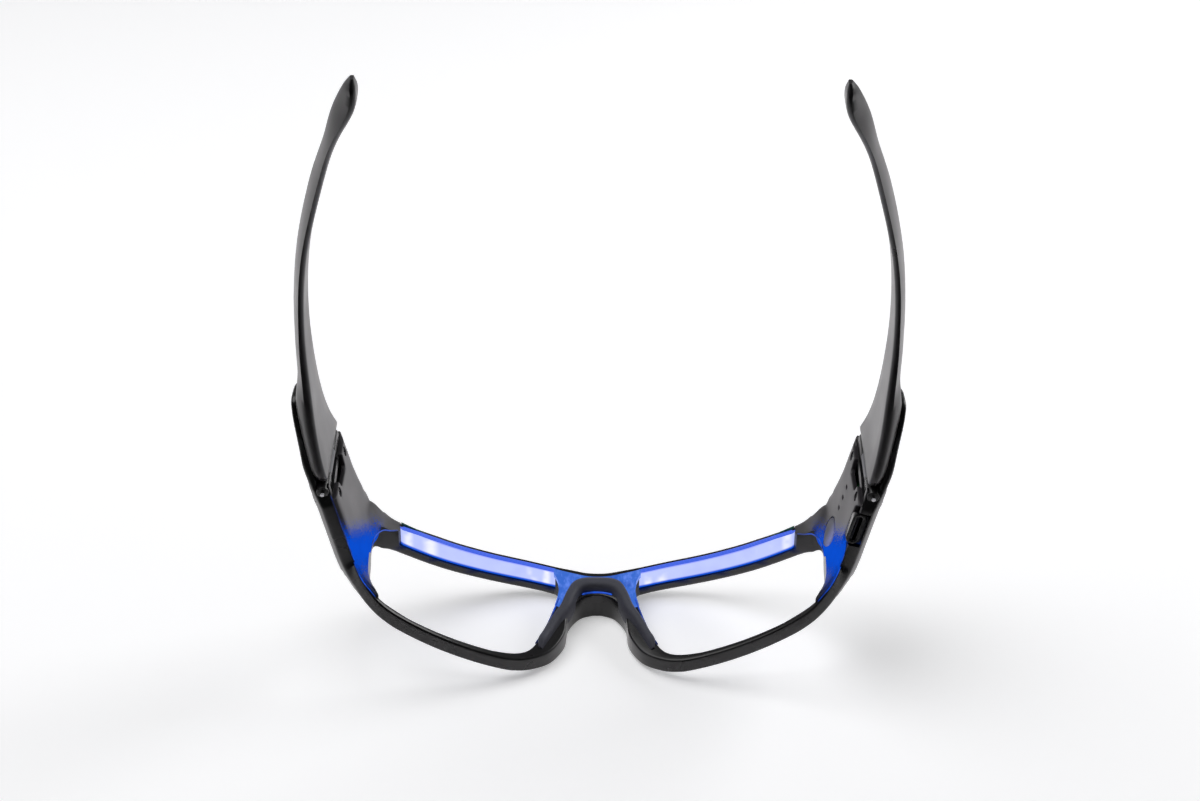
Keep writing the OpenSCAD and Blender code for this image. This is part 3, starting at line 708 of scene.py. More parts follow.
def glow_near(t, spots):
    """Light that falls off from a few places, each (centre in metres, reach in metres, power)."""
    where = node(t, "place")
    total = 0.0
    for centre, reach, power in spots:
        away = node(t, "shrunk", node(t, "away", where, centre), reach)
        total = node(t, "most", total, node(t, "ramp", node(t, "span", away), 1.0, 0.0, 0.0, power))
    return total


def lit_band(t):
    """How strongly the covers glow. The edge of the glow leans back over the part, and is speckled.
    The distances are in metres, those above and below along the direction in which the glow fades."""
    where, fading = node(t, "place"), (0.0, 0.809, 0.588)
    speckle = node(t, "times", node(t, "less", grain(t, 0.42, 3.0, 0.85), 0.5), 0.016)
    line = node(t, "add", node(t, "along", where, fading), speckle)
    above = node(t, "ramp", line, -0.0262, -0.0312, 0.0, 1.0)
    below = node(t, "ramp", line, -0.0425, -0.0345, 0.04, 1.0)
    outer = node(t, "ramp", node(t, "size", node(t, "split", where)[0]), 0.0535, 0.0562, 0.0, 1.0)
    return node(t, "times", node(t, "times", above, below), outer)


def moulded(t, base, rough, grain_mm, depth_mm, spots=None, lit=None, edges=0.0, sheen=0.0):
    """Injection-moulded plastic. The spark-eroded grain is drawn coarser than real, so that it shows at this distance;
    slow clouds vary the roughness as handling does, the edges are painted a little brighter, partly as wear and partly
    as a painted highlight, and where the lamps' light falls on it the plastic takes their blue as a painted glow."""
    clouds = grain(t, 14.0, 3.0)
    tone = node(t, "blend", clouds, shade(base, 0.88), shade(base, 1.12))
    if edges:
        # the edges painted lighter, partly as wear and partly as a painted highlight along the ridges
        wear_and_painted_highlight = node(t, "ramp", node(t, "surface")["Pointiness"], 0.53, 0.6, 0.0, edges)
        tone = node(t, "blend", wear_and_painted_highlight, tone, shade(base, 4, 0.01))
    look = dict(Roughness=node(t, "ramp", clouds, 0.2, 0.8, rough - 0.05, rough + 0.05), IOR=1.5,
                Sheen_Weight=sheen, Sheen_Roughness=0.35,
                Normal=node(t, "bump", grain(t, grain_mm, 2.0, 0.6), depth_mm * MM, 1.0))
    # where the lamps light it, the plastic gets a painted blue glow: emission, with its base colour painted dark blue
    # and its reflection and sheen taken away there
    if lit:
        if spots:
            speckle = node(t, "times", node(t, "less", grain(t, 0.55, 4.0, 0.75), 0.5), 0.1)
            field = node(t, "ramp", node(t, "add", glow_near(t, spots), speckle), 0.18, 0.95, 0.0, 1.0)
        else:
            field = lit_band(t)
        tone = node(t, "blend", field, tone, linear("030719"))
        look.update(Specular_IOR_Level=node(t, "ramp", field, 0.0, 0.6, 0.5, 0.0),
                    Sheen_Weight=node(t, "ramp", field, 0.0, 0.8, sheen, 0.0), Emission_Strength=field,
                    Emission_Color=node(t, "blend", grain(t, 3.2), shade(lit, 0.85), lit))
    return node(t, "body", Base_Color=tone, **look)


def lit_guide(t, core, edge):
    """Edge-lit acrylic: even lavender light under it, white where a lamp stands close behind, and deep blue where
    the light leaves through the border or the rear, which shows its streaks."""
    place = node(t, "wrap place")
    q, _, deep = node(t, "split", place)
    clouds = grain(t, 5.0, 2.0, 0.4, (1.0, 1.0, 0.4))
    # where lamps show through: the place along the guide and the reach, in millimetres, and the brightness
    lamps = ((13.4, 1.5, 1.1), (17.0, 2.2, 0.85), (45.0, 3.0, 1.0), (51.5, 2.0, 0.9), (56.0, 1.6, 0.7))
    hot = 0.0
    for at, reach, power in lamps:
        near = node(t, "ramp", node(t, "size", node(t, "less", q, at)), reach, 0.2, 0.0, power)
        hot = node(t, "most", hot, near)
    hot = node(t, "times", hot, node(t, "ramp", clouds, 0.38, 0.62, 0.0, 1.0))
    face = node(t, "blend", hot, core, linear("ffffff"))
    cloudy = node(t, "ramp", clouds, 0.35, 0.75, 0.0, 0.28)
    face = node(t, "blend", cloudy, face, shade(core, 0.72)[:2] + [core[2]])
    back = node(t, "ramp", node(t, "split", node(t, "surface")["True Normal"])[1], 0.5, 0.7, 0.0, 1.0)
    back = node(t, "most", back, node(t, "ramp", deep, 6.55, 6.95, 0.0, 0.75))
    streaks = node(t, "ramp", node(t, "waves", place, 0.62, 0.6, 1.0), 0.72, 0.98, 0.0, 0.8)
    rear = node(t, "blend", streaks, edge, shade(core, 0.45)[:2] + [core[2]])
    light = node(t, "blend", node(t, "ramp", deep, 3.35, 2.75, 0.0, 1.0), face, edge)
    return node(t, "body", Emission_Color=node(t, "blend", back, light, rear), Roughness=0.12, IOR=1.49,
                Base_Color=linear("273050"), Emission_Strength=1.0)


def side_lit(t, core, edge):
    """Clear acrylic beside the lamps: saturated blue with paler upright streaks."""
    streaks = node(t, "ramp", grain(t, 1.3, 3.0, 0.6, (0.9, 1.0, 0.35)), 0.45, 0.75, 0.0, 1.0)
    broad = node(t, "ramp", grain(t, 4.0, 1.0), 0.5, 0.75, 0.0, 0.5)
    light = node(t, "blend", streaks, (edge[0] + 0.03, edge[1] + 0.05, edge[2] * 0.85),
                 (core[0] * 0.22, core[1] * 0.4, core[2] * 0.8))
    return node(t, "body", Emission_Color=node(t, "blend", broad, light, shade(edge, 0.5)), Roughness=0.15, IOR=1.49,
                Base_Color=linear("192750"), Emission_Strength=1.0)


def seam_light(t, edge):
    """Light that leaks through a seam, brighter and darker along it."""
    broken = node(t, "ramp", grain(t, 2.4), 0.3, 0.65, 0.45, 1.15)
    return node(t, "body", Emission_Strength=node(t, "times", node(t, "shine"), broken), Emission_Color=edge,
                Base_Color=linear("0d1227"), Roughness=0.4)


def rubber(t, base, spots, lit):
    """Silicone rubber: matt, with a faint dusty sheen, an uneven skin and a little of the lamps' light painted on as a
    glow.
    """
    skin = grain(t, 0.5, 3.0, 0.6)
    lively = node(t, "ramp", skin, 0.35, 0.65, 0.6, 1.2)
    return node(t, "body", Base_Color=node(t, "blend", grain(t, 6.0), shade(base, 0.88), shade(base, 1.12)),
                Normal=node(t, "bump", skin, 0.01 * MM, 1.0), Roughness=node(t, "ramp", skin, 0.2, 0.8, 0.52, 0.68),
                IOR=1.43, Sheen_Weight=0.12, Sheen_Roughness=0.5, Emission_Color=lit,
                Emission_Strength=node(t, "times", glow_near(t, spots), lively))


def metal(t, base, rough):
    """Metal with turning marks: fine streaks in its roughness, and slightly dull patches."""
    marks = grain(t, 0.3, 3.0, 0.6, (1, 1, 8))
    return node(t, "body", Base_Color=node(t, "blend", grain(t, 3.0), shade(base, 0.75), base), Metallic=1.0,
                Normal=node(t, "bump", marks, 0.004 * MM, 1.0),
                Roughness=node(t, "ramp", marks, 0.2, 0.8, rough - 0.06, rough + 0.06))


def gloss_black(t, base):
    """Polished black plastic under a thin hard coat; fine wipe marks show only in its roughness."""
    wipes = grain(t, 1.5, 3.0, 0.6, (1, 4, 1))
    return node(t, "body", Base_Color=node(t, "blend", wipes, base, shade(base, 1.4)), IOR=1.4,
                Roughness=node(t, "ramp", wipes, 0.3, 0.8, 0.14, 0.24), Coat_Weight=0.15, Coat_Roughness=0.05)


def solder_mask(t, base):
    """Green lacquer over copper tracks, which stand a little proud and show lighter."""
    tracks = node(t, "bricks", node(t, "place"), 1000 / 3.0, 0.03)
    return node(t, "body", Base_Color=node(t, "blend", tracks, base, shade(base, 1.9, 0.01)), Roughness=0.28, IOR=1.53,
                Normal=node(t, "bump", tracks, 0.03 * MM, 1.0))


def pouch_foil(t, base):
    """The battery's laminated foil: bright, with soft creases whose hollows are painted darker, as shade."""
    creases = grain(t, 4.0, 4.0, 0.6)
    return node(t, "body", Base_Color=node(t, "blend", creases, shade(base, 0.8), base), Metallic=1.0, Roughness=0.32,
                Normal=node(t, "bump", creases, 0.12 * MM, 1.0))


def polyimide(t, base):
    """Amber flex-circuit film with its darker tracks."""
    tracks = node(t, "ramp", node(t, "waves", node(t, "place"), 1000 / 4.5, 0.0), 0.45, 0.6, 0.0, 1.0)
    return node(t, "body", Base_Color=node(t, "blend", tracks, base, shade(base, 0.45)), Roughness=0.25, IOR=1.7)


def lamp_resin(t, base, strength):
    """A lamp's clear resin over phosphor, cloudy and so not evenly bright."""
    return node(t, "body", Emission_Strength=node(t, "ramp", grain(t, 0.8), 0.3, 0.7, strength * 0.7, strength),
                Roughness=0.1, IOR=1.53, Base_Color=base, Emission_Color=base)


# ---------------------------------------------------------------- pieces

class GLASSES_OT_finishes(bpy.types.Operator):
    """The materials, for the new pieces and for the CAD parts that stay"""
    bl_idname = "glasses.finishes"
    bl_label = "Finishes"

    def execute(self, context):
        wrap, f = Wrap(context.scene), context.scene.glasses_finish
        blue, core, steel = list(f.lit_edge), list(f.lit_core), list(f.steel)
        # places of a painted blue glow, each with its reach and power: along the lips of the brow, on the saddle and
        # round the key
        lips = [(wrap.place(sign * wrap.q_of_u(u), wrap.eye_at(u), 2.4), (0.008, 0.0022, 0.003), 0.5)
                for u in (12, 22, 32, 42, 50) for _, sign in SIDES]
        saddle = [(wrap.local(sign * 9.5, 10.5, 31), (0.005, 0.006, 0.007), 0.12) for _, sign in SIDES]
        key = [(wrap.place(wrap.q_side - 4.5, 15.5, 5.0, -1), (0.006, 0.008, 0.006), 0.35)]
        for side, _ in SIDES:
            material("spark eroded charcoal nylon " + side, moulded, base=shade(f.cover, 0.5), rough=0.4, grain_mm=0.5,
                     depth_mm=0.012, lit=blue, edges=0.2, sheen=0.12)
        material("satin black polycarbonate", moulded, base=shade(f.shell, 0.35), rough=0.28, grain_mm=0.42,
                 depth_mm=0.006, spots=lips, lit=shade(blue, 0.12), edges=0.3, sheen=0.14)
        material("satin black nylon of the temples", moulded, base=list(f.shell), rough=0.32, grain_mm=0.5,
                 depth_mm=0.006, edges=0.2, sheen=0.3)
        material("lit acrylic light guide", lit_guide, core=core, edge=blue)
        material("side-lit clear acrylic", side_lit, core=core, edge=blue)
        material("light through a seam", seam_light, edge=blue)
        material("moulded silicone rubber", rubber, base=shade(f.rubber, 1.35), spots=saddle, lit=blue)
        material("button silicone", rubber, base=shade(f.rubber, 2.4), spots=key, lit=linear("8995f3"))
        material("polished black acrylic", gloss_black, base=linear("0a0a0d"))
        material("blackened screw steel", metal, base=linear("3c3c42"), rough=0.34)
        material("plated pin steel", metal, base=steel, rough=0.2)
        fine = dict(rough=0.4, grain_mm=0.3, depth_mm=0.006)
        worn = [("bridge_flex", "amber polyimide film", polyimide, "b5762a", {}),
                ("hinge_washers", "natural nylon of the washers", moulded, "8f8f94", fine),
                ("battery", "laminated pouch foil", pouch_foil, "b9bcc4", {}),
                ("control_board", "green solder mask of the controller", solder_mask, "1f5f34", {}),
                # the socket's steel is darkened to 2c2d31, a painted shade for the inside of the port
                ("charging_socket", "socket steel darkened as painted shade", metal, "2c2d31", {"rough": 0.3}),
                ("tact_switch", "moulded switch body", moulded, "101012", fine),
                ("status_lights", "status lamp resin, off", lamp_resin, "1c1d22", {"strength": 0.02})]
        coarse = dict(rough=0.4, grain_mm=0.6, depth_mm=0.01)
        for side, _ in SIDES:
            worn += [("led_board_" + side, "green solder mask " + side, solder_mask, "2f6b3a", {}),
                     ("leds_" + side, "lamp resin " + side, lamp_resin, "dfe8ff", {"strength": 1.0}),
                     # the metal lug is given a matt light grey, a painted reflection in place of its bright metal
                     ("temple_lug_" + side, "grey enamel of the lug " + side, moulded, "6d6d73", coarse)]
            pin = material("ground pin steel " + side, metal, base=steel, rough=0.22)
            wear(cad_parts["hinge_pin_" + side], pin)
        for name, finish, make, code, look in worn:
            wear(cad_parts[name], material(finish, make, base=linear(code), **look))
        return {"FINISHED"}


def shell_rounds(wrap):
    """The radii of the front's edges at its front and rear face. Loop 0 is the outline, the others the openings."""
    q_hinge = wrap.q_of_row_y(wrap.cover_end, 18)
    q_foot = wrap.q_of_row_y(wrap.foot_end, 5)

    def rounds(k, q, w):
        if k > 0:
            return 0.4 + 1.1 * ease((w - 28) / 3), 0.45
        if abs(q) > (q_hinge - 1 if w > 12 else q_foot - 0.3):
            return 0.6, 0.3
        turned = ease((math.degrees(wrap.angle(q)) - 42) / 26)
        if w > wrap.side_top - 3:
            return 0.5 + 0.3 * turned, 0.35 + 0.4 * turned
        return 0.5, 0.5
    return rounds


def step_line(wrap, y, depth, shift):
    """A line across the plate where its depth changes, at one distance from the front."""
    return [(bisect(wrap.q_side - 5, wrap.q_side + 50, 30, lambda q: wrap.row_y(q, w, depth) < y) + shift, w)
            for w in range(-2, 46, 2)]


def q_on(line, w):
    """Where a line across the plate is at one height."""
    return lookup(w, [(w, q) for q, w in line])


class GLASSES_OT_front_shell(bpy.types.Operator):
    """The front: rims, brow, bridge, hollow end pieces, wings and hinge knuckles, as one moulding"""
    bl_idname = "glasses.front_shell"
    bl_label = "Front shell"

    def execute(self, context):
        wrap = Wrap(context.scene)
        opening = wrap.opening()
        bay_end, cover_end = wrap.cover_end - 1.2, wrap.cover_end
        foot_end, foot_w = wrap.foot_end, wrap.side_low + 2.3
        q_bay = wrap.q_of_v(wrap.start[1] - 5.2)
        low, high = wrap.side_low + 1.2, wrap.side_top - 1.2
        q_foot = [q_on(step_line(wrap, y, wrap.bay_depth, 0), foot_w) for y in (cover_end, foot_end)]
        # each step in the depth is a pair of lines close together
        lines = []
        for _, sign in SIDES:
            for shift in (-0.03, 0.03):
                corner = foot_w + shift
                upper = [p for p in step_line(wrap, cover_end, wrap.bay_depth, shift) if p[1] > corner + 0.2]
                lower = [p for p in step_line(wrap, foot_end, wrap.bay_depth, shift) if p[1] < corner - 0.2]
                bend = [(q_foot[1] + shift, corner), (q_foot[0] + shift, corner)]
                lines.append([(sign * q, w) for q, w in lower + spread(bend, 0.7) + upper])
                end = step_line(wrap, bay_end, wrap.bay_depth, -shift)
                a, b, q0 = low + shift, high - shift, q_bay + shift
                end = [(q_on(end, a), a)] + [p for p in end if a < p[1] < b] + [(q_on(end, b), b)]
                box = [(q0, a)] + end + [(q0, b), (q0, a)]
                lines.append([(sign * q, w) for q, w in spread(box, 2.0)])

        def back(q, w):
            y = wrap.row_y(q, w, wrap.bay_depth)
            if abs(q) > wrap.q_side and y > (foot_end if w < foot_w else cover_end):
                return wrap.wall
            if abs(q) > q_bay and low < w < high and y < bay_end:
                return wrap.wall
            return wrap.rear(q, w)

        def front(q, w):
            """The end pieces swell a little and draw in towards their bottom edge, which then shows as a strip."""
            y = wrap.row_y(q, w)
            turned = ease((math.degrees(wrap.angle(q)) - 34) / 24) * (1 - 0.75 * ease((y - wrap.hinge_back) / 16))
            over = max(0.0, 1 - (w - wrap.low_at(q)) / 3.0)
            top = ease((w - wrap.side_top + 5) / 5)
            return turned * (2.0 * over - 1.3 * (1 - 0.6 * top))

        loops = [wrap.outline(), opening, mirrored(opening)]
        ob = plate("front_shell", wrap, loops, front, back, shell_rounds(wrap), lines)
        cut(ob, [self.recess(wrap, sign) for _, sign in SIDES])
        cut(ob, [block("port_cut", frame_at(wrap, 8.4, 2.45, wrap.side_low + 1.0, -1), (9.4, 5.4, 2.9))])
        parts = []
        knuckles = ((10.4, 17.25), (26.75, 34.4))  # the heights between which each one stands
        for _, sign in SIDES:
            for z0, z1 in knuckles:
                x, middle = sign * wrap.hinge_x, (z0 + z1) / 2
                m = Matrix.Translation(wrap.row(x, wrap.hinge_back, middle))
                parts.append(round_bar("knuckle", m, 1.5, z1 - z0, 28, bevel=0.2))
                m = Matrix.Translation(wrap.row(x, wrap.hinge_back - 1.3, middle))
                parts.append(block("web", m, (3.0, 2.6, z1 - z0 - 0.4), bevel=0.15))
        joined(ob, parts)
        bpy.ops.object.shade_smooth_by_angle(angle=math.radians(35), keep_sharp_edges=True)
        dress(ob, "satin black polycarbonate", "front_frame")
        return {"FINISHED"}

    def recess(self, wrap, sign):
        """The room for a light guide, in the underside of the brow."""
        us = [10.95 + (50 - 10.95) * k / 24 for k in range(25)]
        loop = [(wrap.q_of_u(u), wrap.eye_at(u) - 1.5) for u in us + [51.4]]
        loop += [(wrap.q_of_u(u), wrap.eye_at(u) + 2.58) for u in reversed(us)]
        return plate("recess", wrap, [loop], lambda q, w: 2.4, lambda q, w: 9.0, lambda k, q, w: (0, 0),
                     side=sign, rows=2)


class GLASSES_OT_inner_covers(bpy.types.Operator):
    """The inner covers, which run from the hinges forward over the electronics and on along the brow"""
    bl_idname = "glasses.inner_covers"
    bl_label = "Inner covers"

    def execute(self, context):
        wrap = Wrap(context.scene)
        for side, sign in SIDES:
            loops = [self.outline(wrap, sign)]
            for w in screw_heights(wrap):
                q = wrap.q_side + screw_place(wrap, w)
                loops.append([(q + 1.2 * c, w + 1.2 * s) for c, s in turns(28, -1)])
            if sign < 0:
                loops.append(list(reversed(self.key_ring(wrap, 0.32))))
                loops += [self.slot(wrap, 4.3 + 3.1 * k, 20.3) for k in range(3)]
            ob = plate("inner_cover_skin_" + side, wrap, loops, lambda q, w: wrap.rear(q, w) + 0.02,
                       lambda q, w: self.face(wrap, q, w), lambda k, q, w: (0.0, 0.35 if k == 0 else 0.18),
                       side=sign, step=1.2)
            dress(ob, "spark eroded charcoal nylon " + side, "inner_cover_" + side)
        return {"FINISHED"}

    def outline(self, wrap, sign):
        """From the rear top corner along the top to the brow, back round the opening, and along the bottom."""
        end = step_line(wrap, wrap.cover_end, wrap.cover_depth, -0.02)
        q_top, q_low = q_on(end, wrap.side_top - 0.1), q_on(end, wrap.side_low + 0.35)
        q_arm = wrap.q_of_u(50.6)
        top = [q_top + (q_arm - q_top) * k / 30 for k in range(31)]
        top = [(q, wrap.top_at(wrap.plan(q, 0)[0]) - 0.12) for q in top]
        corner = through([(50.6, wrap.eye_at(50.6) - 0.3), (52.4, 28.6), (54.3, 26.7), (55.7, 23.4), (56.3, 19.8),
                          (56.5, 16)], 5)
        eye = [(wrap.q_of_u(u), w) for u, w in corner]
        eye += [p for p in wrap.opening() if p[1] < 15.6 and p[0] > wrap.q_of_u(54.1)]
        tail = wrap.q_of_u(53.4)
        bottom = []
        for k in range(25):
            q = tail + (q_low - tail) * k / 24
            bottom.append((q, wrap.low_at(q) + 0.3 + 0.7 * (1 - ease(k / 4))))
        if sign < 0:
            # the cover makes room for the port's lobe
            lobe = [(2.0, 0), (2.7, 1.4), (3.6, 2.1), (13.2, 2.1), (14.1, 1.4), (14.8, 0)]
            bottom = ([p for p in bottom if p[0] < wrap.q_side + 1.6]
                      + [(wrap.q_side + s, wrap.side_low + 0.1 + rise) for s, rise in lobe]
                      + [p for p in bottom if p[0] > wrap.q_side + 15.1])
        # the rear edge keeps clear of the temple's lug
        notch = [(0.6, 12.4), (1.6, 12.6), (2.2, 13.4), (2.3, 17), (2.2, 21.4), (1.6, 22.2), (0.6, 22.4)]
        rear = ([(q_on(end, w), w) for w in (9, 11.9)] + [(q_on(end, 12.4) - d, w) for d, w in notch]
                + [(q_on(end, w), w) for w in (22.9, 26, 29)])
        return closed(top + eye + bottom + rear, 0.8)

    @staticmethod
    def key_ring(wrap, grow):
        """The key's upright oval, measured on the cover's face, since q is longer than the face in the bend."""
        d = wrap.cover_depth
        v = wrap.plan(wrap.q_side - 4.9, d)[1] + 0.5
        reach = (3.0 + grow) * math.sin(wrap.side_angle)
        return [(wrap.q_of_v(v + reach * c, d), 19.7 + (4.35 + grow) * s) for c, s in turns(40)]

    def slot(self, wrap, s, w):
        """A slot over a status light, upright with cut corners."""
        corners = [(-0.4, 0.6), (-0.25, 0.85), (0.25, 0.85), (0.4, 0.6), (0.4, -0.6), (0.25, -0.85), (-0.25, -0.85),
                   (-0.4, -0.6)]
        return [(wrap.q_side + s + a, w + b) for a, b in corners]

    @staticmethod
    def face(wrap, q, w):
        """Depth of the cover's visible face: flat beside the bay, and rising over the brow's rear."""
        arm = ease((w - 21.5) / 8)
        d = wrap.cover_depth + max(wrap.cap(q) - wrap.cover_depth, 0) * arm
        high = 5.4 * ease((abs(q) - wrap.q_side + 3) / 14)
        if high > 0.2:
            d -= 1.35 * max(0.0, (w - (wrap.side_top - high)) / high) ** 2
        # the lower border is rounded off
        d -= 0.16 * max(0.0, wrap.low_at(q) + 1.7 - w) ** 2
        return max(d, wrap.rear(q, w) + 0.12)


def screw_heights(wrap):
    return wrap.side_low + 4.8, wrap.side_top - 6.3


def screw_place(wrap, w):
    """Distance of a cover screw along the end piece, for its height."""
    y = wrap.cover_end - 1.5
    s = (y + w * math.sin(wrap.tilt)) / math.cos(wrap.tilt)
    return (s - wrap.start[1] - wrap.cover_depth * math.cos(wrap.side_angle)) / math.sin(wrap.side_angle)


class GLASSES_OT_light_guides(bpy.types.Operator):
    """The lit acrylic guides under the brow"""
    bl_idname = "glasses.light_guides"
    bl_label = "Light guides"

    def execute(self, context):
        wrap = Wrap(context.scene)
        us = [10.98 + (49.9 - 10.98) * k / 30 for k in range(31)]
        low = [(wrap.q_of_u(u), wrap.eye_at(u) + 0.75) for u in us]
        high = [(wrap.q_of_u(u), wrap.eye_at(u) + 2.6) for u in reversed(us)]
        q, w = wrap.q_of_u(49.9), wrap.eye_at(50)
        arrow = [(q + 0.5, w + 0.9), (q + 1.75, w + 1.55), (q + 0.2, w + 2.0)]
        for side, sign in SIDES:
            ob = plate("guide_bar_" + side, wrap, [low + arrow + high], lambda q, w: 2.42,
                       lambda q, w: min(wrap.upper_depth, wrap.cap(q)) + 0.02, lambda k, q, w: (0.15, 0.15),
                       side=sign, rows=4, step=1.0)
            dress(ob, "lit acrylic light guide", "light_guide_" + side)
        return {"FINISHED"}


class GLASSES_OT_lit_seams(bpy.types.Operator):
    """The clear acrylic behind the bridge, and the seams that the light leaks through"""
    bl_idname = "glasses.lit_seams"
    bl_label = "Lit seams"

    def execute(self, context):
        wrap = Wrap(context.scene)
        self.bridge(wrap)
        for side, sign in SIDES:
            self.cover_seams(wrap, side, sign)
            self.saddle_seams(wrap, side, sign)
        arch = [self.rear_point(wrap, u, wrap.arch_height + 0.45 - 0.07 * u * u)
                for u in [-3.9 + 0.39 * k for k in range(21)]]
        self.bead("saddle_arch_light", arch, 0.24, [1.0] * len(arch))
        return {"FINISHED"}

    def bead(self, name, line, radius, shine):
        dress(tube(name, line, radius, shine), "light through a seam")

    def rear_point(self, wrap, u, w):
        """A point just behind the rear of the front."""
        q = wrap.q_of_u(abs(u))
        return wrap.local(u, wrap.plan(q, wrap.rear(q, w) + 0.1)[1], w)

    def bridge(self, wrap):
        """The bar behind the bridge, from guide to guide and a little way down beside the saddle."""
        end = 11.35
        top = [(end * k / 10, -1.75 + 0.55 * (k / 10) ** 2) for k in range(1, 10)]
        half = [(wrap.q_of_u(u), wrap.top_at(u) + fall) for u, fall in top]
        half += [(wrap.q_of_u(u), w) for u, w in (
            (end, wrap.top_at(end) - 1.2), (end, wrap.eye_at(end) + 0.1), (11.15, 35.3), (10.75, 34.4), (10.2, 32.6),
            (9.9, 30), (9.9, 28), (10.2, 25.6), (10.8, 22.6), (9.7, 21.9), (7.6, 26.4), (4, 29.4))]
        loop = mirrored(half) + [(0, wrap.bridge_top - 1.75)] + half
        ob = plate("bridge_acrylic", wrap, [closed(loop[::-1], 0.6)],
                   lambda q, w: wrap.rear(q, w) - 1.0, lambda q, w: wrap.rear(q, w) + 0.06,
                   lambda k, q, w: (0.0, 0.05), rows=1, step=1.0)
        dress(ob, "side-lit clear acrylic")

    def cover_seams(self, wrap, side, sign):
        """Under the cover's lower edge, on the right side as far as the port, and round the opening's corner."""
        first, last = wrap.q_of_u(54.0), wrap.q_side + 17
        line, shine = [], []
        for k in range(49):
            q = first + (last - first) * k / 48
            if sign < 0 and q > wrap.q_side + 1.2:
                break
            w = wrap.low_at(q) + 0.2 + 0.5 * (1 - ease(k / 6))
            line.append(wrap.place(q, w, wrap.rear(q, w) - 0.02, sign))
            shine.append(0.75 * (1 - ease((q - wrap.q_side + 6) / 20)) + 0.16)
        self.bead("cover_seam_light_" + side, line, 0.13, shine)
        corner = through([(50.9, wrap.eye_at(50.9) - 0.75, 6.5), (52.4, 28.35, 6.2), (54.2, 26.5, 5.7),
                          (55.55, 23.3, 5.1), (56.1, 19.8, 4.9), (56.25, 16, 4.8)], 5)
        line = [wrap.place(wrap.q_of_u(u), w, d, sign) for u, w, d in corner]
        shine = [0.35 + 0.4 * math.sin(math.pi * i / len(line)) for i in range(len(line))]
        self.bead("pocket_edge_light_" + side, line, 0.16, shine)

    def saddle_seams(self, wrap, side, sign):
        """Along the outer edge of each leg of the saddle."""
        leg = through([(9.7, 25.5), (11.0, 20.5), (12.35, 15.5), (13.9, 11), (15.4, 7.4)], 6)
        line = [self.rear_point(wrap, sign * u, w) for u, w in leg]
        shine = [0.8 * (1 - i / len(line)) ** 1.6 + 0.1 for i in range(len(line))]
        self.bead("saddle_leg_light_" + side, line, 0.2, shine)


class GLASSES_OT_fittings(bpy.types.Operator):
    """The port's lobe, the power button, the cover screws and the ends of the hinge pins"""
    bl_idname = "glasses.fittings"
    bl_label = "Fittings"

    def execute(self, context):
        wrap = Wrap(context.scene)
        self.port(wrap)
        self.button(wrap)
        self.screws(wrap)
        for side, sign in SIDES:
            m = Matrix.Translation(wrap.row(sign * wrap.hinge_x, wrap.hinge_back, 9.85))
            dress(round_bar("pin_end_" + side, m, 0.5, 1.0, 24, bevel=0.12), "plated pin steel")
        return {"FINISHED"}

    def port(self, wrap):
        """A polished lobe with round ends, and a socket with round ends in its underside."""
        width, half = 3.0, (8.4 - 3.0) / 2
        # height over the end piece's lower edge, and growth of the ring there, from the bottom of the socket outwards
        levels = [(1.9, -0.9), (0.8, -0.86), (0.3, -0.8), (0.12, -0.68), (0.03, -0.5), (0, -0.3), (0.02, 0.0),
                  (0.2, 0.2), (2.0, 0.22), (2.4, 0.0), (2.45, -0.9)]
        rings = []
        for rise, grow in levels:
            r = width / 2 + grow
            ring = arc(8.4 + half, 3.3, r, -90, 15, 13) + arc(8.4 - half, 3.3, r, 90, 15, 13)
            rings.append([wrap.place(wrap.q_side + s, wrap.side_low - 0.1 + rise, d, -1) for s, d in ring])
        ob = lofted("port_lobe", rings, smooth=35, endless=True)
        dress(ob, "polished black acrylic", "port_bezel")

    def button(self, wrap):
        """An upright oval key, set flush in the cover and curved as the cover is."""
        cover = GLASSES_OT_inner_covers
        ob = plate("power_key", wrap, [cover.key_ring(wrap, 0)], lambda q, w: cover.face(wrap, q, w) - 0.58,
                   lambda q, w: cover.face(wrap, q, w) + 0.12, lambda k, q, w: (0.1, 0.3), side=-1, step=0.9)
        dress(ob, "button silicone", "power_button", "button")

    def screws(self, wrap):
        """Cross-head screws, one joined piece."""
        heads = []
        for _, sign in SIDES:
            for w in screw_heights(wrap):
                m = frame_at(wrap, screw_place(wrap, w), wrap.cover_depth - 0.62, w, sign)
                head = round_bar("head", m, 1.06, 0.7, 32, bevel=0.16)
                face = m @ Matrix.Translation((0, 0, -0.35 * MM))
                cut(head, [block("cross", face @ Matrix.Rotation(math.radians(t), 4, "Z"), (1.5, 0.3, 0.5))
                           for t in (25, 115)])
                heads.append(head)
        ob = joined(heads[0], heads)
        ob.name = "cover_screw_heads"
        dress(ob, "blackened screw steel", "cover_screws")


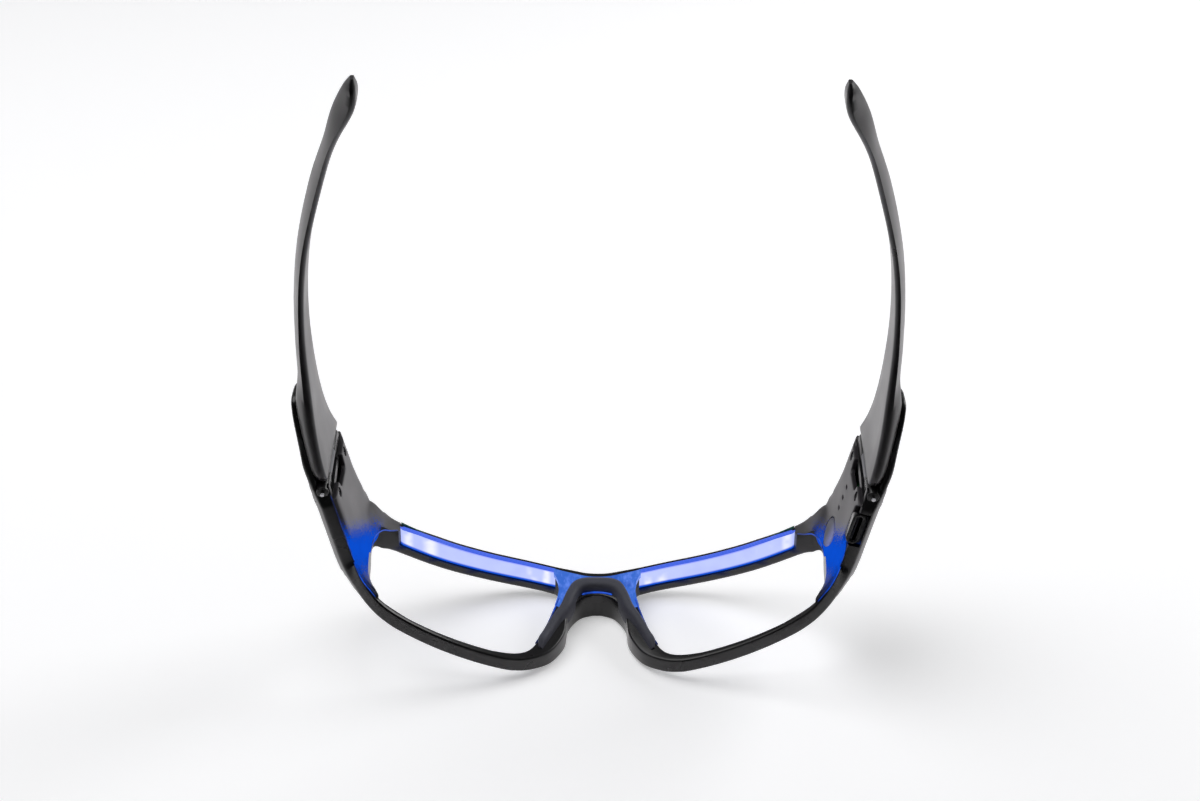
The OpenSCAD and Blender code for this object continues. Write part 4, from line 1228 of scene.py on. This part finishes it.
class GLASSES_OT_nose_saddle(bpy.types.Operator):
    """The rubber saddle: an arch over the nose that rolls over into two legs"""
    bl_idname = "glasses.nose_saddle"
    bl_label = "Nose saddle"

    def execute(self, context):
        wrap = Wrap(context.scene)
        h, n = wrap.arch_height, wrap.arch_half
        half = through([(0, h + 1.0), (3.0, h + 0.6), (5.0, h - 1.5), (n - 1.2, h - 7), (n + 1.7, 15.5), (n + 4.2, 9.8),
                        (n + 5.8, 6.2)], 6)
        path = mirrored(half) + half[1:]
        rings = []
        for i, (u, w) in enumerate(path):
            a, b = path[max(i - 1, 0)], path[min(i + 1, len(path) - 1)]
            along, up = b[0] - a[0], b[1] - a[1]
            m = math.hypot(along, up)
            rings.append(self.section(wrap, u, w, -up / m, along / m))
        dress(lofted("nose_saddle", rings, smooth=60), "moulded silicone rubber", "nose_pad")
        return {"FINISHED"}

    def section(self, wrap, u, w, nx, ny):
        """One ring of the saddle. nx, ny point outwards from the arch, in the front view."""
        base = wrap.rim_depth(w)
        top = ease((w - 10) / 14)
        end = ease((w - 5.6) / 3)
        band = (2.0 + 0.7 * top + 1.0 * ease((w - 26) / 3)) * (0.35 + 0.65 * end)
        rise = (1.6 + 0.8 * top) * (0.25 + 0.75 * end)
        sides = ease((w - 15.5) / 2.5) * ease((wrap.arch_height - 0.5 - w) / 3)
        flange = (0.4 + 1.9 * sides) * (0.3 + 0.7 * end)
        # (outwards from the arch, behind the rear face): the roll over the edge, then the flange inside the arch
        ring = [(band, -0.15), (band + 0.02, rise * 0.35), (band - 0.15, rise * 0.75), (band - 0.5, rise * 0.96),
                (band * 0.62, rise), (band * 0.4, rise * 0.99), (0.35, rise * 0.9), (0.0, rise * 0.62),
                (-0.22, rise * 0.2), (-0.3, -0.2), (-0.3, -flange * 0.6), (-0.24, -flange), (0.1, -flange),
                (0.4, -flange * 0.5), (band * 0.5, -0.15)]
        out = []
        for a, d in ring:
            x = u + nx * a
            v = wrap.wrap_radius - math.sqrt(max((wrap.wrap_radius - base - d) ** 2 - x * x, 0))
            out.append(wrap.local(x, v, w + ny * a))
        return out


def quarter(share):
    """How far a round corner has fallen away, at a share of its radius before the end."""
    return 1 - math.sqrt(max(1 - max(0.0, share) ** 2, 0))


class GLASSES_OT_temples(bpy.types.Operator):
    """The temples: flat and tall at the hinge, chamfered over the wing, slim over the ear, with a paddle at the tip"""
    bl_idname = "glasses.temples"
    bl_label = "Temples"

    def execute(self, context):
        wrap = Wrap(context.scene)
        y0, y1 = wrap.hinge_back + 1.7, wrap.hinge_back + wrap.temple_length
        low = 11.1

        def along(table):
            """A smooth curve over the temple: shares of its length before 1, or places, with their values."""
            places = [wrap.hinge_back + wrap.temple_length * f if f < 1 else f for f, _ in table]
            return through([(y, value) for y, (_, value) in zip(places, table)], 8)
        hx, tip, t0, h0, ear = wrap.hinge_x, wrap.tip_out, wrap.temple_wall, wrap.temple_height, wrap.ear_height
        place = along([(y0, hx), (.085, hx + 1.3), (.185, hx + 2.5), (.355, hx + 3.5), (.525, hx + 1.9),
                       (.695, hx - 2.7), (.85, tip + 6.2), (.94, tip + 2.1), (y1, tip + 0.3)])
        thick = along([(y0, t0), (.1, t0), (.28, 3.2), (.5, 3.0), (.7, 3.3), (.82, 2.9), (.92, wrap.paddle - 0.3),
                       (.97, 3.4), (y1, 0.9)])
        foot = along([(y0, low), (.17, low + 1.6), (.34, low + 3.4), (.5, low + 4), (.64, low + 2.4), (.79, low - 2.6),
                      (.91, 2.2), (.975, 0.05), (y1, 1.2)])
        tall = along([(y0, h0), (.08, h0 - 5), (.15, h0 - 9), (.23, 13.2), (.35, 11.2), (.52, 10), (.82, ear),
                      (.91, ear), (.975, 5.6), (y1, 2)])
        # how far the outer side can still go out inside the wing
        wing_end = wrap.hinge_back + wrap.temple_length * .19
        inside = []
        for y in [y0 + 2.2 * k for k in range(15)]:
            room = wrap.plan(wrap.q_of_row_y(y, 16), wrap.wall)[0] - 0.3 - lookup(y, place) - lookup(y, thick) / 2
            inside.append((y, max(room, 0) * (1 - ease((y - wing_end) / 9))))

        def behind(g):
            return (y1 - y0) * (1 - (1 - g) ** 1.25)
        # the rings stand closer together in the first part, for the round corners of the front end
        steps, dense = 84, 0.12
        for side, sign in SIDES:
            rings = []
            for g in [k / steps for k in range(steps + 1)]:
                y = y0 + (behind(g) if g > dense else behind(dense) * (g / dense) ** 1.6)
                x, t, z, h = (lookup(y, curve) for curve in (place, thick, foot, tall))
                wide = lookup(y, inside) * ease((y - y0) / 5 + 0.15)
                ring = self.section(t, z, h, wide, y - y0, (y - y0) / (y1 - y0))
                rings.append([wrap.row(sign * (x + a), y, b) for a, b in ring])
            ob = lofted("temple_arm_" + side, rings, smooth=45)
            dress(ob, "satin black nylon of the temples", "temple_" + side, side + "_arm")
        return {"FINISHED"}

    def section(self, t, z, h, wide, from_end, f):
        """The points of one ring, outwards from its middle and upwards: t thick, and h tall from height z.
        wide is added on the outer side. The ring stands from_end behind the temple's start, at share f of it."""
        # the front end's corners are round, the lower one most
        lift = 2.4 * quarter(1 - from_end / 3.2)
        small = quarter(1 - from_end / 0.7)
        z, h, t = z + lift, h - lift - 0.7 * small, t - 0.6 * small
        half = t / 2
        r1, r2 = min(1.15, half * 0.92), min(0.6, half * 0.6)
        flare = lookup(f, [(0, 0.6), (0.07, 1.9), (0.14, 2.8), (0.2, 3.6), (0.27, 5.2), (0.34, 7.0)])
        flare = min(flare, 0.75 * h)
        edge = -half + r1 + (t - r1) * (0.3 - 0.22 * ease((f - 0.2) / 0.2))
        chamfer = [(edge, 0.02)] + [(edge + (half - edge) * a, flare * b) for a, b in ((0.36, 0.26), (0.8, 0.72))]
        ring = arc(-half + r1, r1, r1, 180, 18, 6) + chamfer + [(half, flare)]
        ring += [(half, flare + (h - r2 - flare) * k / 4) for k in range(1, 4)]
        ring += arc(half - r2, h - r2, r2, 0, 22.5, 5) + arc(-half + r2, h - r2, r2, 90, 22.5, 5)
        ring += [(-half, r1 + (h - r2 - r1) * (4 - k) / 4) for k in range(1, 4)]
        # towards the ear the ring comes closer to an oval
        soft = 0.22 * ease((f - 0.25) / 0.5)
        out = []
        for a, b in ring:
            c, s = a / half, (b - h / 2) / (h / 2)
            turn = math.atan2(s, c)
            c, s = math.cos(turn), math.sin(turn)
            oval = half * math.copysign(abs(c) ** 0.75, c), h / 2 + h / 2 * math.copysign(abs(s) ** 0.75, s)
            a, b = a + (oval[0] - a) * soft, b + (oval[1] - b) * soft
            out.append((a + max(a, 0) * wide / half, z + b))
        return out


class GLASSES_OT_stage(bpy.types.Operator):
    """The floor, the table behind the front, the lamps and the camera at the photograph's angle"""
    bl_idname = "glasses.stage"
    bl_label = "Stage"

    def execute(self, context):
        wrap = Wrap(context.scene)
        stage = context.scene.glasses_stage
        self.camera(context, wrap)
        self.world(context, stage)
        rest = wrap.local(0, 0, 0)
        upright = Vector((0, -math.sin(wrap.tilt), math.cos(wrap.tilt)))
        self.sheet("table", rest, upright, -1, "seamless paper behind", stage, rest + Vector((0, 0, 0.012)))
        self.sheet("floor", Vector((0, 0, -0.0006)), Vector((0, 1, 0)), 1, "seamless paper floor", stage)
        self.lamp(context, "soft key", Vector((0.3, 0.75, 0.24)), 0.9, stage.key_power)
        self.lamp(context, "soft side", Vector((-0.6, 0.28, 0.5)), 0.5, stage.fill_power)
        context.scene.view_settings.view_transform = "Standard"
        return {"FINISHED"}

    def camera(self, context, wrap):
        """600 mm behind and below the middle of the picture, looking up, and rolled by half a degree."""
        pitch, roll, away = math.radians(54), math.radians(0.5), 600
        middle, across, upwards = Vector((0, 0.75 - wrap.mid_y, 40.1)), 0.7105, 45.395
        back = Vector((0, math.cos(pitch), -math.sin(pitch)))
        up = Vector((0, math.sin(pitch), math.cos(pitch)))
        right = math.cos(roll) * Vector((-1, 0, 0)) + math.sin(roll) * up
        up = back.cross(right)
        data = bpy.data.cameras.new("camera")
        data.lens, data.sensor_width, data.clip_start = 68.4, 36, 0.01
        ob = bpy.data.objects.new("camera", data)
        m = Matrix((right, up, back)).transposed().to_4x4()
        m.translation = (middle + across * right + upwards * up + away * back) * MM
        ob.matrix_world = m
        context.collection.objects.link(ob)
        context.scene.camera = ob

    def sheet(self, name, centre, y, way, finish, stage, rest=None):
        """A large square of paper. way is the side of the sheet that is its front."""
        x, size = Vector((1, 0, 0)), 2.4
        corners = [centre + (x * a + y * b) * size / 2 for a, b in ((-1, -1), (1, -1), (1, 1), (-1, 1))]
        ob = made(name, corners, [(0, 1, 2, 3)])
        if ob.data.polygons[0].normal.dot(x.cross(y) * way) < 0:
            ob.data.flip_normals()
        wear(ob, material(finish, self.paper, stage=stage, rest=rest))

    def paper(self, t, stage, rest):
        """White paper that the camera sees only from its front, so that it hides nothing from behind. It keeps the
        shadow, and its glow brings the rest to white. To all other rays the table is a painted pool of light, which
        glows in gloss and fades away from where the front rests on it and downwards; the floor lets everything but
        the camera through."""
        path = node(t, "path")
        tone = node(t, "blend", grain(t, 9.0, 3.0), shade(stage.floor, 0.985), list(stage.floor))
        lit = node(t, "both", node(t, "matt", tone), node(t, "glow", stage.paper_lift))
        clear = node(t, "clear")
        other = clear
        if rest:
            where = node(t, "place")
            # a painted pool of light that the table shows to other rays: bright near where the front rests, darker
            # further away and lower down
            far = node(t, "span", node(t, "away", where, rest))
            reach = node(t, "times", node(t, "ramp", far, 0.3, 0.7, 1.0, 0.2),
                         node(t, "ramp", node(t, "split", where)[2], -0.11, -0.006, 0.05, 1.0))
            shown = node(t, "most", path["Is Glossy Ray"], path["Is Transmission Ray"])
            power = node(t, "times", node(t, "times", shown, reach), stage.paper_lift)
            other = node(t, "both", node(t, "matt", node(t, "blend", reach, linear("000000"), linear("faf7fa"))),
                         node(t, "glow", power))
        view = node(t, "either", path["Is Camera Ray"], other, lit)
        return node(t, "either", node(t, "surface")["Backfacing"], view, clear)

    def lamp(self, context, name, at, size, power):
        data = bpy.data.lights.new(name, "AREA")
        data.shape, data.size, data.energy = "DISK", size, power
        ob = bpy.data.objects.new(name, data)
        ob.location = at
        ob.rotation_euler = (at - Vector((0, -0.03, 0.02))).to_track_quat("Z", "Y").to_euler()
        context.collection.objects.link(ob)

    def world(self, context, stage):
        """White behind everything that the camera sees. For the light, a room that is bright in front of the
        glasses' front, dim behind the wearer and dimmer below."""
        world = bpy.data.worlds.new("studio")
        world.use_nodes = True
        t = world.node_tree
        t.nodes.clear()
        _, y, z = node(t, "split", node(t, "toward"))
        light = node(t, "times", node(t, "ramp", y, 0.45, -0.35, stage.room_level, stage.world_level),
                     node(t, "ramp", z, -0.75, -0.1, 0.25, 1.0))
        node(t, "sky", node(t, "room", linear("ffffff"), node(t, "most", light, node(t, "path")["Is Camera Ray"])))
        context.scene.world = world


class GLASSES_PT_panel(bpy.types.Panel):
    """The steps that build the glasses, and their sizes"""
    bl_label = "Light therapy glasses"
    bl_idname = "GLASSES_PT_panel"
    bl_space_type = "VIEW_3D"
    bl_region_type = "UI"
    bl_category = "Glasses"

    def draw(self, context):
        for name in GROUPS:
            group = getattr(context.scene, name)
            box = self.layout.box()
            for setting in settings(group):
                box.prop(group, setting)
        for step in STEPS:
            self.layout.operator("glasses." + step)


STEPS = ("finishes", "front_shell", "inner_covers", "light_guides", "lit_seams", "fittings", "nose_saddle", "temples",
         "stage")
GROUPS = {"glasses_front": GlassesFrontSizes, "glasses_arms": GlassesArmSizes, "glasses_finish": GlassesFinish,
          "glasses_stage": GlassesStage}
CLASSES = list(GROUPS.values()) + [GLASSES_OT_finishes, GLASSES_OT_front_shell, GLASSES_OT_inner_covers,
                                   GLASSES_OT_light_guides, GLASSES_OT_lit_seams, GLASSES_OT_fittings,
                                   GLASSES_OT_nose_saddle, GLASSES_OT_temples, GLASSES_OT_stage, GLASSES_PT_panel]


def register():
    for c in CLASSES:
        bpy.utils.register_class(c)
    for name, group in GROUPS.items():
        setattr(bpy.types.Scene, name, PointerProperty(type=group))


def unregister():
    for name in GROUPS:
        delattr(bpy.types.Scene, name)
    for c in reversed(CLASSES):
        bpy.utils.unregister_class(c)


def main():
    register()
    for step in STEPS:
        getattr(bpy.ops.glasses, step)()


if __name__ == "__main__":
    main()
